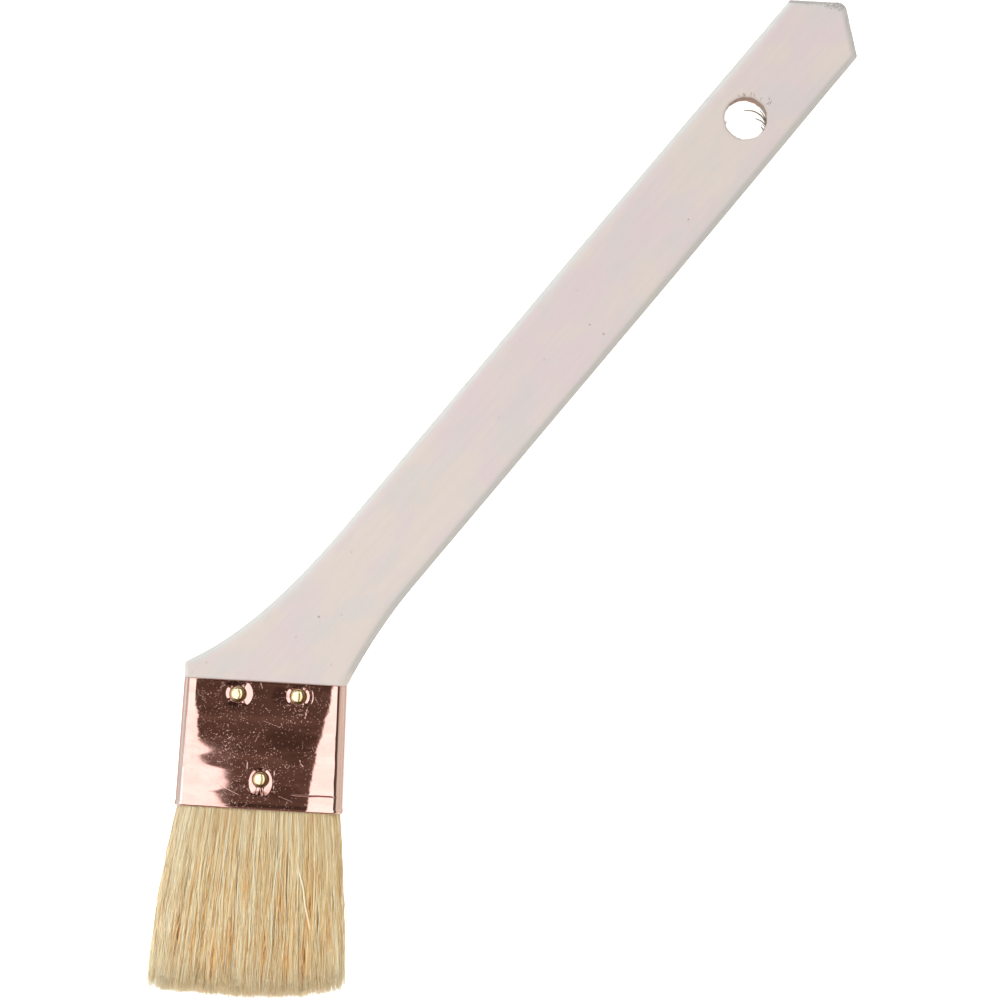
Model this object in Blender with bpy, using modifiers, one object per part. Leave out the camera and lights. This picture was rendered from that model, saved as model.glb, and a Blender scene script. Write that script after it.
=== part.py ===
"""Angled pastry brush: a flat wooden handle, a nailed metal ferrule and a tuft of natural bristle.

Lengths are in metres. The parts are laid out in the ferrule's own axes: X across the ferrule, Y along
it towards the handle, Z through its thickness, from the middle of the ferrule's upper edge. An empty
then carries them all, so that the brush lies on Z = 0 with the world origin under its middle.
"""

import math

import bmesh
import bpy
from mathutils import Vector
from mathutils.geometry import interpolate_bezier

MM = 0.001
GAP = 0.3 * MM  # between pieces that touch
OVERRUN = 2.0 * MM  # how far a cutter runs past the face it starts from

# Handle: a flat board that leans away from the ferrule's axis and ends in a pointed tip.
HANDLE_LEAN = math.radians(53.2)  # from +X, anticlockwise seen from the front
HANDLE_THICKNESS = 10.6 * MM
HANDLE_WIDTH = 22.8 * MM
HANDLE_TIP_WIDTH = 22.1 * MM
HANDLE_OFFSET = -1.56 * MM  # of the handle's middle line, to the left of the layout origin
TAPER_START = 133.4 * MM  # the next three are distances along the handle from the layout origin
TIP_SHOULDER = 215.1 * MM
TIP_APEX = 223.5 * MM
TIP_ROUND = 2.2 * MM
EDGE_ROUND = 2.4 * MM
EDGE_STEPS = 5
TIP_EDGE_ROUND = 1.1 * MM
TIP_FADE = 9.0 * MM  # the length over which the edge grows tighter towards the tip
HANG_HOLE_ALONG = 185.2 * MM
HANG_HOLE_LEFT = 0.4 * MM  # of the middle line
HANG_HOLE_RADIUS = 5.3 * MM
HANG_HOLE_SIDES = 40

# Neck: where the board flares out to the ferrule's width.
NECK_LEFT_ALONG = 46.1 * MM
NECK_RIGHT_ALONG = 41.3 * MM
SHOULDER_HALF_WIDTH = 20.4 * MM
SHOULDER_HEIGHT = 3.9 * MM  # of the left corner above the ferrule
SHOULDER_LEFT_LEAN = math.radians(27.0)
SHOULDER_RIGHT_LEAN = math.radians(66.0)
SHOULDER_ROUND = 1.0 * MM
CURVE_STEPS = 14
CURVE_PULL = 0.32

# Ferrule: a band of sheet, a little wider at its mouth, with a rolled rim.
FERRULE_HEIGHT = 32.1 * MM
FERRULE_HALF_WIDTH = 20.3 * MM
FERRULE_FLARE = 0.6 * MM
FERRULE_HALF_THICKNESS = 5.3 * MM
FERRULE_CORNER = 1.9 * MM
FERRULE_CROWN = 0.2 * MM  # how far the broad faces bow out
RIM_BEAD = 0.22 * MM
RIM_HEIGHT = 1.0 * MM
SHEET = 0.45 * MM
LAP_EDGE = 11.8 * MM  # the sheet's outer edge on the back, to the right of the middle
LAP_WIDTH = 3.5 * MM
LAP_RAMP = 1.6 * MM
LAP_RISE = 0.3 * MM
LAP_STEP = 0.05 * MM
FACE_STEPS = 8
CORNER_STEPS = 6
PLAIN_STEPS = 3
RIM_STEPS = 4

# Inside the ferrule, from its upper edge down: tang, resin, bristle roots around the spacer plug.
INNER_HALF_WIDTH = 19.5 * MM
INNER_HALF_THICKNESS = FERRULE_HALF_THICKNESS - SHEET - GAP
INNER_CORNER = 1.3 * MM
TANG_LENGTH = 13.0 * MM
RESIN_HEIGHT = 4.4 * MM
PLUG_SIZE = Vector((33.0, 10.5, 4.0)) * MM
PLUG_CORNER = 0.6 * MM

# Nails: (name, across, along) on each broad face.
NAIL_PLACES = (
    ("left", -6.6 * MM, -3.4 * MM),
    ("right", 8.5 * MM, -3.2 * MM),
    ("lower", 0.25 * MM, -24.4 * MM),
)
NAIL_HEAD_RADIUS = 2.05 * MM
NAIL_HEAD_HEIGHT = 1.15 * MM
NAIL_HEAD_RIM = 0.12 * MM
NAIL_DOME_STEPS = 7
NAIL_POINT = 1.2 * MM
NAIL_SHANK_RADIUS = 0.7 * MM
NAIL_HOLE_RADIUS = NAIL_SHANK_RADIUS + GAP
NAIL_LENGTH = 4.4 * MM  # under the head
NAIL_STANDOFF = 0.12 * MM
NAIL_STEPS = 24

# Tuft: it turns about a line across the ferrule's mouth, which its roof-shaped root end just clears.
TUFT_LENGTH = 46.7 * MM
TUFT_ROOT_HALF_WIDTH = 20.5 * MM
TUFT_TIP_HALF_WIDTH = 24.9 * MM
TUFT_TIP_SHIFT = -0.6 * MM
TUFT_ROOT_HALF_THICKNESS = 4.7 * MM
TUFT_BELLY = 1.1 * MM
TUFT_TIP_HALF_THICKNESS = 4.3 * MM
TUFT_TIP_BOW = 1.6 * MM  # how much shorter the outermost bristles are
TUFT_RIGHT_SHORT = 1.2 * MM  # and how much more so on the right
TUFT_TIP_CROWN = 1.4 * MM  # and on the two faces
TUFT_FLARE_POWER = 0.8
TUFT_BELLY_POWER = 0.9
TUFT_EDGE_THIN = 0.42  # the share of its thickness that it loses at its narrow sides
TUFT_EDGE_POWER = 7
TUFT_FLEX = math.radians(30.0)
TUFT_CLEARANCE = math.radians(1.0)
TUFT_CUTS = (17, 11, 5)  # across, along and through

MOUTH_Y = -FERRULE_HEIGHT
PIVOT_Y = MOUTH_Y - GAP


def clear_scene():
    for thing in list(bpy.data.objects):
        bpy.data.objects.remove(thing)


def new_collection(name):
    collection = bpy.data.collections.new(name)
    bpy.context.scene.collection.children.link(collection)
    return collection


def new_material(name, colour, roughness, metallic=0.0):
    material = bpy.data.materials.new(name)
    material.use_nodes = True
    shader = material.node_tree.nodes["Principled BSDF"]
    shader.inputs["Base Color"].default_value = (*colour, 1.0)
    shader.inputs["Roughness"].default_value = roughness
    shader.inputs["Metallic"].default_value = metallic
    material.diffuse_color = (*colour, 1.0)
    return material


def new_object(name, mesh, collection, material=None, sharp=math.radians(35.0)):
    obj = bpy.data.objects.new(name, mesh)
    collection.objects.link(obj)
    if material:
        mesh.materials.clear()
        mesh.materials.append(material)
    mesh.shade_smooth()
    mesh.set_sharp_from_angle(angle=sharp)
    return obj


def mesh_from(name, bm):
    mesh = bpy.data.meshes.new(name)
    bmesh.ops.recalc_face_normals(bm, faces=bm.faces)
    bm.to_mesh(mesh)
    bm.free()
    return mesh


def new_cutter(name, mesh, cutters):
    cutter = new_object(name, mesh, cutters)
    cutter.hide_render = True
    cutter.display_type = "WIRE"
    return cutter


def add_boolean(obj, other, operation="DIFFERENCE"):
    modifier = obj.modifiers.new(other.name, "BOOLEAN")
    modifier.operation = operation
    modifier.solver = "EXACT"
    modifier.object = other


def round_cutter(name, radius, low_z, high_z, across, along, cutters, sides=20):
    """A cylinder along Z that drills a hole from low_z to high_z."""
    bm = bmesh.new()
    bmesh.ops.create_cone(
        bm, cap_ends=True, segments=sides, radius1=radius, radius2=radius, depth=high_z - low_z
    )
    bmesh.ops.translate(bm, verts=bm.verts, vec=(across, along, (low_z + high_z) / 2))
    return new_cutter(name, mesh_from(name, bm), cutters)


def rounded_block(name, half_width, half_thickness, corner, high_y, low_y):
    """A block whose edges along Y are rounded."""
    bm = bmesh.new()
    bmesh.ops.create_cube(bm, size=1.0)
    bmesh.ops.scale(bm, verts=bm.verts, vec=(2 * half_width, high_y - low_y, 2 * half_thickness))
    bmesh.ops.translate(bm, verts=bm.verts, vec=(0.0, (high_y + low_y) / 2, 0.0))
    long_edges = [e for e in bm.edges if abs(e.verts[0].co.y - e.verts[1].co.y) > (high_y - low_y) / 2]
    bmesh.ops.bevel(bm, geom=long_edges, offset=corner, segments=4, profile=0.5, affect="EDGES")
    return mesh_from(name, bm)


def on_handle(along, left):
    """The layout point at a distance along the handle and a distance to the left of its middle line."""
    ahead = Vector((math.cos(HANDLE_LEAN), math.sin(HANDLE_LEAN)))
    side = Vector((-ahead.y, ahead.x))
    return ahead * along + side * (HANDLE_OFFSET + left)


def flare(start, start_lean, end, end_lean):
    """A smooth curve between two points, with the direction it leaves and arrives in."""
    reach = (end - start).length * CURVE_PULL
    leave = start + Vector((-math.cos(start_lean), -math.sin(start_lean))) * reach
    arrive = end + Vector((math.cos(end_lean), math.sin(end_lean))) * reach
    flat = [p.to_3d() for p in (start, leave, arrive, end)]
    return [p.to_2d() for p in interpolate_bezier(*flat, CURVE_STEPS)]


def rounded_corner(before, corner, after, radius, steps=5):
    """An arc that is tangent to both edges of a corner."""
    to_before = (before - corner).normalized()
    to_after = (after - corner).normalized()
    half_angle = to_before.angle(to_after) / 2
    centre = corner + (to_before + to_after).normalized() * radius / math.sin(half_angle)
    first = corner + to_before * radius / math.tan(half_angle) - centre
    last = corner + to_after * radius / math.tan(half_angle) - centre
    sweep = first.angle_signed(last)
    arc = []
    for step in range(steps + 1):
        turn = -sweep * step / steps
        arc.append(centre + Vector((
            first.x * math.cos(turn) - first.y * math.sin(turn),
            first.x * math.sin(turn) + first.y * math.cos(turn),
        )))
    return arc


def handle_outline():
    """The board's outline, anticlockwise from the ferrule's right side to its left side."""
    half, tip_half = HANDLE_WIDTH / 2, HANDLE_TIP_WIDTH / 2
    tip_right, tip_left = (on_handle(TIP_SHOULDER, side * tip_half) for side in (-1, 1))
    before_tip = TIP_SHOULDER - TIP_FADE
    right_foot = Vector((SHOULDER_HALF_WIDTH, 0.0))
    left_foot = Vector((-SHOULDER_HALF_WIDTH, 0.0))
    left_corner = Vector((-SHOULDER_HALF_WIDTH, SHOULDER_HEIGHT))
    right_curve = flare(on_handle(NECK_RIGHT_ALONG, -half), HANDLE_LEAN, right_foot, SHOULDER_RIGHT_LEAN)
    left_curve = flare(on_handle(NECK_LEFT_ALONG, half), HANDLE_LEAN, left_corner, SHOULDER_LEFT_LEAN)
    outline = right_curve[::-1]
    outline += [on_handle(TAPER_START, -half), on_handle(before_tip, -taper_half(before_tip)), tip_right]
    outline += rounded_corner(tip_right, on_handle(TIP_APEX, 0.0), tip_left, TIP_ROUND)
    outline += [tip_left, on_handle(before_tip, taper_half(before_tip)), on_handle(TAPER_START, half)]
    outline += left_curve[:-1]
    outline += rounded_corner(left_curve[-2], left_corner, left_foot, SHOULDER_ROUND)
    outline.append(left_foot)
    return outline


def taper_half(along):
    """Half the board's width between where its taper starts and its tip."""
    share = (along - TAPER_START) / (TIP_SHOULDER - TAPER_START)
    return (HANDLE_WIDTH + (HANDLE_TIP_WIDTH - HANDLE_WIDTH) * share) / 2


def edge_round_at(point):
    """The radius of the board's edge, which is tighter round the tip and at the shoulder's corner."""
    corner = Vector((-SHOULDER_HALF_WIDTH, SHOULDER_HEIGHT))
    origin, ahead = on_handle(0.0, 0.0), on_handle(1.0, 0.0) - on_handle(0.0, 0.0)
    short_of_tip = TIP_SHOULDER - (point - origin).dot(ahead)
    near_corner = SHOULDER_ROUND * 0.7 + 0.3 * (point - corner).length
    near_tip = TIP_EDGE_ROUND + max(0.0, short_of_tip) * (EDGE_ROUND - TIP_EDGE_ROUND) / TIP_FADE
    return min(EDGE_ROUND, near_corner, near_tip)


def inward(before, point, after):
    """The direction from an outline's point into the board, as long as a corner's mitre needs."""
    sides = [Vector((-edge.y, edge.x)).normalized() for edge in (point - before, after - point)]
    middle = (sides[0] + sides[1]).normalized()
    return middle / middle.dot(sides[0])


def board_mesh(outline):
    """A flat board lofted round its outline, with a rounded edge of changing radius and a square foot."""
    bm = bmesh.new()
    columns = []
    for index, point in enumerate(outline):
        radius = edge_round_at(point)
        if 0 < index < len(outline) - 1:
            into = inward(outline[index - 1], point, outline[index + 1])
        else:
            into = Vector((-math.copysign(1.0, point.x), 0.0))
        arc = [math.radians(90.0) * k / EDGE_STEPS for k in range(EDGE_STEPS, -1, -1)]
        front = [
            (point + into * radius * (1 - math.cos(a)), HANDLE_THICKNESS / 2 - radius * (1 - math.sin(a)))
            for a in arc
        ]
        back = [(place, -z) for place, z in reversed(front)]
        columns.append([bm.verts.new((place.x, place.y, z)) for place, z in front + back])
    for first, second in zip(columns, columns[1:]):
        for k in range(len(first) - 1):
            bm.faces.new((first[k], first[k + 1], second[k + 1], second[k]))
    bm.faces.new([column[0] for column in columns])
    bm.faces.new([column[-1] for column in reversed(columns)])
    bm.faces.new(columns[0][::-1] + columns[-1])
    return mesh_from("handle", bm)


def nail_holes(rows, radius, depth, cutters, label):
    """Cutters for the nails' holes, from beyond each broad face to a depth under it."""
    holes = []
    for row, across, along in NAIL_PLACES:
        if row in rows:
            outer, inner = FERRULE_HALF_THICKNESS + OVERRUN, FERRULE_HALF_THICKNESS - depth
            for face, low, high in (("front", inner, outer), ("back", -outer, -inner)):
                holes.append(round_cutter(f"{label}_{face}_{row}", radius, low, high, across, along, cutters))
    return holes


def make_handle(parts, cutters):
    wood = new_material("pale_wood", (0.72, 0.66, 0.60), 0.62)
    handle = new_object("handle", board_mesh(handle_outline()), parts, wood)
    tang = rounded_block(
        "tang", INNER_HALF_WIDTH, INNER_HALF_THICKNESS, INNER_CORNER, OVERRUN, -TANG_LENGTH
    )
    add_boolean(handle, new_cutter("tang", tang, cutters), "UNION")
    hole = on_handle(HANG_HOLE_ALONG, HANG_HOLE_LEFT)
    reach = HANDLE_THICKNESS / 2 + OVERRUN
    hang_hole = round_cutter(
        "hang_hole", HANG_HOLE_RADIUS, -reach, reach, hole.x, hole.y, cutters, sides=HANG_HOLE_SIDES
    )
    add_boolean(handle, hang_hole)
    for pilot in nail_holes(("left", "right"), NAIL_HOLE_RADIUS, NAIL_LENGTH + GAP, cutters, "pilot"):
        add_boolean(handle, pilot)
    return handle


def face_height(across, half_width):
    """How far the ferrule's bowed face stands out at a distance across it."""
    return FERRULE_HALF_THICKNESS + FERRULE_CROWN * (1 - (across / (half_width - FERRULE_CORNER)) ** 2)


def lap_rise(across):
    """How far the lap lifts the back face: a sheer step at the sheet's edge, then a ramp back down."""
    if across < LAP_EDGE:
        return 0.0
    return LAP_RISE * min(1.0, max(0.0, (LAP_EDGE + LAP_WIDTH + LAP_RAMP - across) / LAP_RAMP))


def corner_arc(centre_x, centre_z, radius, start):
    """A quarter turn clockwise seen from above, from an angle in degrees, without its end points."""
    turns = [math.radians(start - 90.0 * k / CORNER_STEPS) for k in range(1, CORNER_STEPS)]
    return [(centre_x + radius * math.cos(turn), centre_z + radius * math.sin(turn)) for turn in turns]


def ferrule_ring(half_width, swell, y):
    """The ferrule's outline at one height, clockwise seen from above, from the front face's left end."""
    flat = half_width - FERRULE_CORNER
    corner_z = FERRULE_HALF_THICKNESS + swell - FERRULE_CORNER
    front = [flat * (2 * k / FACE_STEPS - 1) for k in range(FACE_STEPS + 1)]
    lap = [LAP_EDGE - LAP_STEP, LAP_EDGE, LAP_EDGE + LAP_WIDTH, LAP_EDGE + LAP_WIDTH + LAP_RAMP]
    back = sorted(front + lap, reverse=True)
    points = [(x, face_height(x, half_width) + swell) for x in front]
    points += corner_arc(flat, corner_z, FERRULE_CORNER, 90.0)
    points += [(half_width, corner_z), (half_width, -corner_z)]
    points += corner_arc(flat, -corner_z, FERRULE_CORNER, 0.0)
    points += [(x, -face_height(x, half_width) - swell - lap_rise(x)) for x in back]
    points += corner_arc(-flat, -corner_z, FERRULE_CORNER, -90.0)
    points += [(-half_width, -corner_z), (-half_width, corner_z)]
    points += corner_arc(-flat, corner_z, FERRULE_CORNER, 180.0)
    return [Vector((x, y, z)) for x, z in points]


def make_ferrule(parts, cutters):
    """An open band of sheet lofted down the ferrule, given its thickness by Solidify."""
    bm = bmesh.new()
    plain = FERRULE_HEIGHT - RIM_HEIGHT
    levels = [(-plain * k / PLAIN_STEPS, 0.0) for k in range(PLAIN_STEPS)]
    levels += [
        (-plain - RIM_HEIGHT * k / RIM_STEPS, RIM_BEAD * math.sin(math.pi * k / RIM_STEPS))
        for k in range(RIM_STEPS + 1)
    ]
    rings = []
    for y, swell in levels:
        half_width = FERRULE_HALF_WIDTH - FERRULE_FLARE * y / FERRULE_HEIGHT + swell
        rings.append([bm.verts.new(point) for point in ferrule_ring(half_width, swell, y)])
    for upper, lower in zip(rings, rings[1:]):
        for k in range(len(upper)):
            after = (k + 1) % len(upper)
            bm.faces.new((upper[k], lower[k], lower[after], upper[after]))
    copper = new_material("copper_plate", (0.80, 0.42, 0.33), 0.12, 1.0)
    ferrule = new_object("ferrule", mesh_from("ferrule", bm), parts, copper)
    shell = ferrule.modifiers.new("sheet", "SOLIDIFY")
    shell.thickness = SHEET
    shell.offset = -1.0
    shell.use_even_offset = True
    for punched in nail_holes(("left", "right", "lower"), NAIL_HOLE_RADIUS, 3 * SHEET, cutters, "punched"):
        add_boolean(ferrule, punched)
    return ferrule


def make_resin(parts):
    top = -TANG_LENGTH - GAP
    amber = new_material("resin", (0.42, 0.27, 0.12), 0.35)
    mesh = rounded_block(
        "resin", INNER_HALF_WIDTH, INNER_HALF_THICKNESS, INNER_CORNER, top, top - RESIN_HEIGHT
    )
    return new_object("setting_resin", mesh, parts, amber)


def root_top():
    return -TANG_LENGTH - RESIN_HEIGHT - 2 * GAP


def make_plug(parts, cutters):
    pine = new_material("plug_wood", (0.66, 0.50, 0.33), 0.7)
    mesh = rounded_block(
        "plug", PLUG_SIZE.x / 2, PLUG_SIZE.z / 2, PLUG_CORNER, root_top(), root_top() - PLUG_SIZE.y
    )
    plug = new_object("spacer_plug", mesh, parts, pine)
    for pilot in nail_holes(("lower",), NAIL_HOLE_RADIUS, NAIL_LENGTH + GAP, cutters, "plug_pilot"):
        add_boolean(plug, pilot)
    return plug


def make_root(parts, cutters):
    """The gripped length of the bristle, with the pocket that the plug fills."""
    hair = new_material("bristle_root", (0.62, 0.48, 0.28), 0.7)
    mesh = rounded_block(
        "root", INNER_HALF_WIDTH, INNER_HALF_THICKNESS, INNER_CORNER, root_top(), MOUTH_Y
    )
    root = new_object("bristle_root", mesh, parts, hair)
    half_width, half_thickness = PLUG_SIZE.x / 2 + GAP, PLUG_SIZE.z / 2 + GAP
    low_y = root_top() - PLUG_SIZE.y - GAP
    pocket = rounded_block(
        "pocket", half_width, half_thickness, PLUG_CORNER + GAP, root_top() + OVERRUN, low_y
    )
    add_boolean(root, new_cutter("plug_pocket", pocket, cutters))
    through_bank = FERRULE_HALF_THICKNESS - PLUG_SIZE.z / 2
    for hole in nail_holes(("lower",), NAIL_HOLE_RADIUS, through_bank, cutters, "bank_hole"):
        add_boolean(root, hole)
    return root


def nail_mesh():
    """A round-head nail turned about Z, head up, with the underside of its head at Z = 0."""
    bm = bmesh.new()
    dome_height = NAIL_HEAD_HEIGHT - NAIL_HEAD_RIM
    turns = [math.radians(90.0) * k / NAIL_DOME_STEPS for k in range(NAIL_DOME_STEPS + 1)]
    dome = [
        (NAIL_HEAD_RADIUS * math.sin(turn), NAIL_HEAD_RIM + dome_height * math.cos(turn))
        for turn in turns
    ]
    shank = [
        (NAIL_HEAD_RADIUS - NAIL_HEAD_RIM, 0.0),
        (NAIL_SHANK_RADIUS, 0.0),
        (NAIL_SHANK_RADIUS, NAIL_POINT - NAIL_LENGTH),
        (0.0, -NAIL_LENGTH),
    ]
    verts = [bm.verts.new((radius, 0.0, height)) for radius, height in dome + shank]
    for upper, lower in zip(verts, verts[1:]):
        bm.edges.new((upper, lower))
    mesh = bpy.data.meshes.new("nail")
    bm.to_mesh(mesh)
    bm.free()
    return mesh


def make_nails(parts):
    brass = new_material("brass", (0.80, 0.58, 0.25), 0.22, 1.0)
    nails = []
    for side, face in ((1, "front"), (-1, "back")):
        for row, across, along in NAIL_PLACES:
            nail = new_object(f"nail_{face}_{row}", nail_mesh(), parts, brass)
            turn = nail.modifiers.new("turned", "SCREW")
            turn.axis = "Z"
            turn.steps = NAIL_STEPS
            turn.render_steps = NAIL_STEPS
            turn.use_merge_vertices = True
            turn.merge_threshold = 0.01 * MM
            height = face_height(across, FERRULE_HALF_WIDTH) + NAIL_STANDOFF
            nail.location = (across, along, side * height)
            nail.rotation_euler = (0.0 if side > 0 else math.pi, 0.0, 0.0)
            nails.append(nail)
    return nails


def tuft_point(u, v, w):
    """Where a point of the unit block goes: u across, v from root to tip, w through the thickness."""
    flare_share = v**TUFT_FLARE_POWER
    half_width = TUFT_ROOT_HALF_WIDTH + (TUFT_TIP_HALF_WIDTH - TUFT_ROOT_HALF_WIDTH) * flare_share
    taper = TUFT_ROOT_HALF_THICKNESS + (TUFT_TIP_HALF_THICKNESS - TUFT_ROOT_HALF_THICKNESS) * v
    belly = TUFT_BELLY * math.sin(math.pi * v**TUFT_BELLY_POWER)
    z = w * (taper + belly) * (1 - TUFT_EDGE_THIN * abs(u) ** TUFT_EDGE_POWER)
    roof = -abs(z) * math.tan(TUFT_FLEX + TUFT_CLEARANCE)
    shorter = TUFT_TIP_BOW * u**2 + TUFT_RIGHT_SHORT * max(u, 0.0) ** 2 + TUFT_TIP_CROWN * w**2
    return Vector((u * half_width + TUFT_TIP_SHIFT * v, roof * (1 - v) - (TUFT_LENGTH - shorter) * v, z))


def make_tuft(parts, frame):
    """The free bristle: a block bent to shape, with its origin on the line that it flexes about."""
    bm = bmesh.new()
    bmesh.ops.create_cube(bm, size=2.0)
    for axis, cuts in enumerate(TUFT_CUTS):
        across = [e for e in bm.edges if abs(e.verts[0].co[axis] - e.verts[1].co[axis]) > 1e-6]
        bmesh.ops.subdivide_edges(bm, edges=across, cuts=cuts, use_grid_fill=True)
    for vert in bm.verts:
        vert.co = tuft_point(vert.co.x, (1 - vert.co.y) / 2, vert.co.z)
    hair = new_material("bristle", (0.80, 0.66, 0.42), 0.65)
    tuft = new_object("bristle_tuft", mesh_from("tuft", bm), parts, hair, math.radians(60.0))
    axis = bpy.data.objects.new("bristle_flex_axis", None)
    axis.location = (0.0, PIVOT_Y, 0.0)
    axis.parent = frame
    bpy.context.scene.collection.objects.link(axis)
    tuft.parent = axis
    return tuft


def settle(frame, parts):
    """Moves the frame so that the brush lies on Z = 0 with its middle over the world origin."""
    bpy.context.view_layer.update()
    depsgraph = bpy.context.evaluated_depsgraph_get()
    corners = []
    for obj in parts.objects:
        shape = obj.evaluated_get(depsgraph)
        corners += [shape.matrix_world @ Vector(corner) for corner in shape.bound_box]
    low = [min(corner[k] for corner in corners) for k in range(3)]
    high = [max(corner[k] for corner in corners) for k in range(3)]
    frame.location = (-(low[0] + high[0]) / 2, -(low[1] + high[1]) / 2, -low[2])
    bpy.context.view_layer.update()


def main():
    clear_scene()
    parts = new_collection("pastry_brush")
    cutters = new_collection("cutters")
    frame = bpy.data.objects.new("brush_frame", None)
    bpy.context.scene.collection.objects.link(frame)
    pieces = [
        make_handle(parts, cutters),
        make_ferrule(parts, cutters),
        make_resin(parts),
        make_plug(parts, cutters),
        make_root(parts, cutters),
    ]
    pieces += make_nails(parts)
    for piece in pieces + list(cutters.objects):
        piece.parent = frame
    make_tuft(parts, frame)
    settle(frame, parts)


main()
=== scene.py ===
"""The looks of an angled pastry brush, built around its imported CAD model.

Shapes are worked out in millimetres in the ferrule's own axes: X across it, Y along it towards the
handle, Z through its thickness, from the middle of its upper edge. That point is ORIGIN in the frame.
Each point also carries named marks from 0 to 1, such as how worn or pale it is, that materials read.
"""

import math

import bmesh
import bpy
import numpy as np
from mathutils.bvhtree import BVHTree
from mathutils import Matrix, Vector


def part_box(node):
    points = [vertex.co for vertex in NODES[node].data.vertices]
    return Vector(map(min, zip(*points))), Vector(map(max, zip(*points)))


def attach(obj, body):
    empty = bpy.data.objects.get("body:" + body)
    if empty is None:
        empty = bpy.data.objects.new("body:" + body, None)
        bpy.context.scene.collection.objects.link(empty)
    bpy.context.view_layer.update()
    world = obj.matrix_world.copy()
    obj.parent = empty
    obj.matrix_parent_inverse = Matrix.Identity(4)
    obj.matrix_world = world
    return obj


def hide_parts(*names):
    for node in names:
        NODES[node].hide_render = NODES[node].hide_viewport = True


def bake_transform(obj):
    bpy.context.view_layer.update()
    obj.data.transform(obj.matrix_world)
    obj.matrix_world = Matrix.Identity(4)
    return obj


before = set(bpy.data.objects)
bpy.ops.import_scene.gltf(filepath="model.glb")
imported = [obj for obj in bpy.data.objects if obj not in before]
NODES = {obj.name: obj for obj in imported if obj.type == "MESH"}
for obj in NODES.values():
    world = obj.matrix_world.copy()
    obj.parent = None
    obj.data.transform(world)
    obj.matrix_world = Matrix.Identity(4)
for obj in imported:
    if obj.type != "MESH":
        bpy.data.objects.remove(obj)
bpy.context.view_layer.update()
BODY, TUFT = "brush_body", "tuft"
MM = 0.001

FERRULE_LOW, FERRULE_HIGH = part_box("ferrule")
HANDLE_LOW, HANDLE_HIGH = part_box("handle")
ORIGIN = np.array((
    (FERRULE_LOW.x + FERRULE_HIGH.x) / 2, FERRULE_HIGH.y, (HANDLE_LOW.z + HANDLE_HIGH.z) / 2
))

# The CAD model's own sizes, in millimetres.
HANDLE_LEAN = math.radians(53.2)
HANDLE_OFFSET = -1.56
HANDLE_HALF_THICKNESS = 5.3
HOLE_ALONG = 185.2
HOLE_LEFT = 0.4
HOLE_RADIUS = 5.3
TIP_APEX = 223.5
FERRULE_HEIGHT = 32.1
FERRULE_HALF_WIDTH = 20.3
FERRULE_FLARE = 0.6
FERRULE_HALF_THICKNESS = 5.3
FERRULE_CROWN = 0.2
PLUG_HALF_THICKNESS = 2.0
NAIL_PLACES = ((-6.6, -3.4), (8.5, -3.2), (0.25, -24.4))
NAIL_NAMES = ("left", "right", "lower")
NAIL_HEAD_RADIUS = 2.05
NAIL_HEAD_HEIGHT = 1.15
NAIL_SHANK_RADIUS = 0.7
NAIL_LENGTH = 4.4
NAIL_POINT = 1.2
MOUTH_Y = -FERRULE_HEIGHT


# ------------------------------------------------------------------ helpers


def srgb(red, green, blue):
    """A screen colour from 0 to 255 as the linear colour that a shader takes."""
    parts = [value / 255 for value in (red, green, blue)]
    return tuple(v / 12.92 if v <= 0.04045 else ((v + 0.055) / 1.055) ** 2.4 for v in parts) + (1.0,)


def smooth(low, high, value):
    """A soft step from 0 at `low` to 1 at `high`, which may be the smaller of the two."""
    share = np.clip((value - low) / (high - low), 0.0, 1.0)
    return share * share * (3 - 2 * share)


def bell(distance, width):
    """A soft bump of height 1 at no distance."""
    return np.exp(-((distance / width) ** 2))


def value_noise(points, seed):
    """Smooth noise from -1 to 1 at an array of points, of one, two or three coordinates."""
    points = np.atleast_2d(points).astype(float)
    cell = np.floor(points).astype(np.int64)
    part = points - cell
    part = part * part * part * (part * (part * 6 - 15) + 10)
    total = np.zeros(len(points))
    count = points.shape[1]
    for corner in range(2**count):
        offset = np.array([(corner >> k) & 1 for k in range(count)])
        spot = (cell + offset) % 4096
        mixed = np.full(len(points), seed * 374761393, np.int64)
        for k in range(count):
            mixed = (mixed ^ (spot[:, k] * (668265263 + 2 * k * 1274126177))) & 0x7FFFFFFF
            mixed = (mixed * 1103515245 + 12345) & 0x7FFFFFFF
            mixed ^= mixed >> 13
        weight = np.prod(np.where(offset == 1, part, 1 - part), axis=1)
        total += weight * (mixed / 0x3FFFFFFF - 1.0)
    return total


def fractal(points, seed, octaves=3):
    points = np.atleast_2d(points).astype(float)
    total = sum(value_noise(points * 2.03**k, seed + 17 * k) * 0.5**k for k in range(octaves))
    return total / sum(0.5**k for k in range(octaves))


def eased(points, count):
    """A smooth line of `count` points through a few."""
    points = np.array(points, float)
    knots, share = np.linspace(0.0, 1.0, len(points)), np.linspace(0.0, 1.0, count)
    line = np.stack([np.interp(share, knots, points[:, k]) for k in range(points.shape[1])], axis=-1)
    for _ in range(3):
        line[1:-1] = (line[:-2] + 2 * line[1:-1] + line[2:]) / 4
    return line


def add_object(name, data):
    obj = bpy.data.objects.new(name, data)
    bpy.context.scene.collection.objects.link(obj)
    return obj


def put_marks(mesh, marks):
    for key, values in marks.items():
        mark = mesh.attributes.new(key, "FLOAT", "POINT")
        mark.data.foreach_set("value", np.asarray(values, np.float32).ravel())


def new_piece(name, points, faces, material, marks):
    """A smooth-shaded mesh object from points in layout millimetres."""
    mesh = bpy.data.meshes.new(name)
    mesh.from_pydata((np.asarray(points) * MM + ORIGIN).tolist(), [], faces)
    mesh.validate()
    put_marks(mesh, marks)
    mesh.shade_smooth()
    mesh.materials.append(material)
    return add_object(name, mesh)


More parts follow.
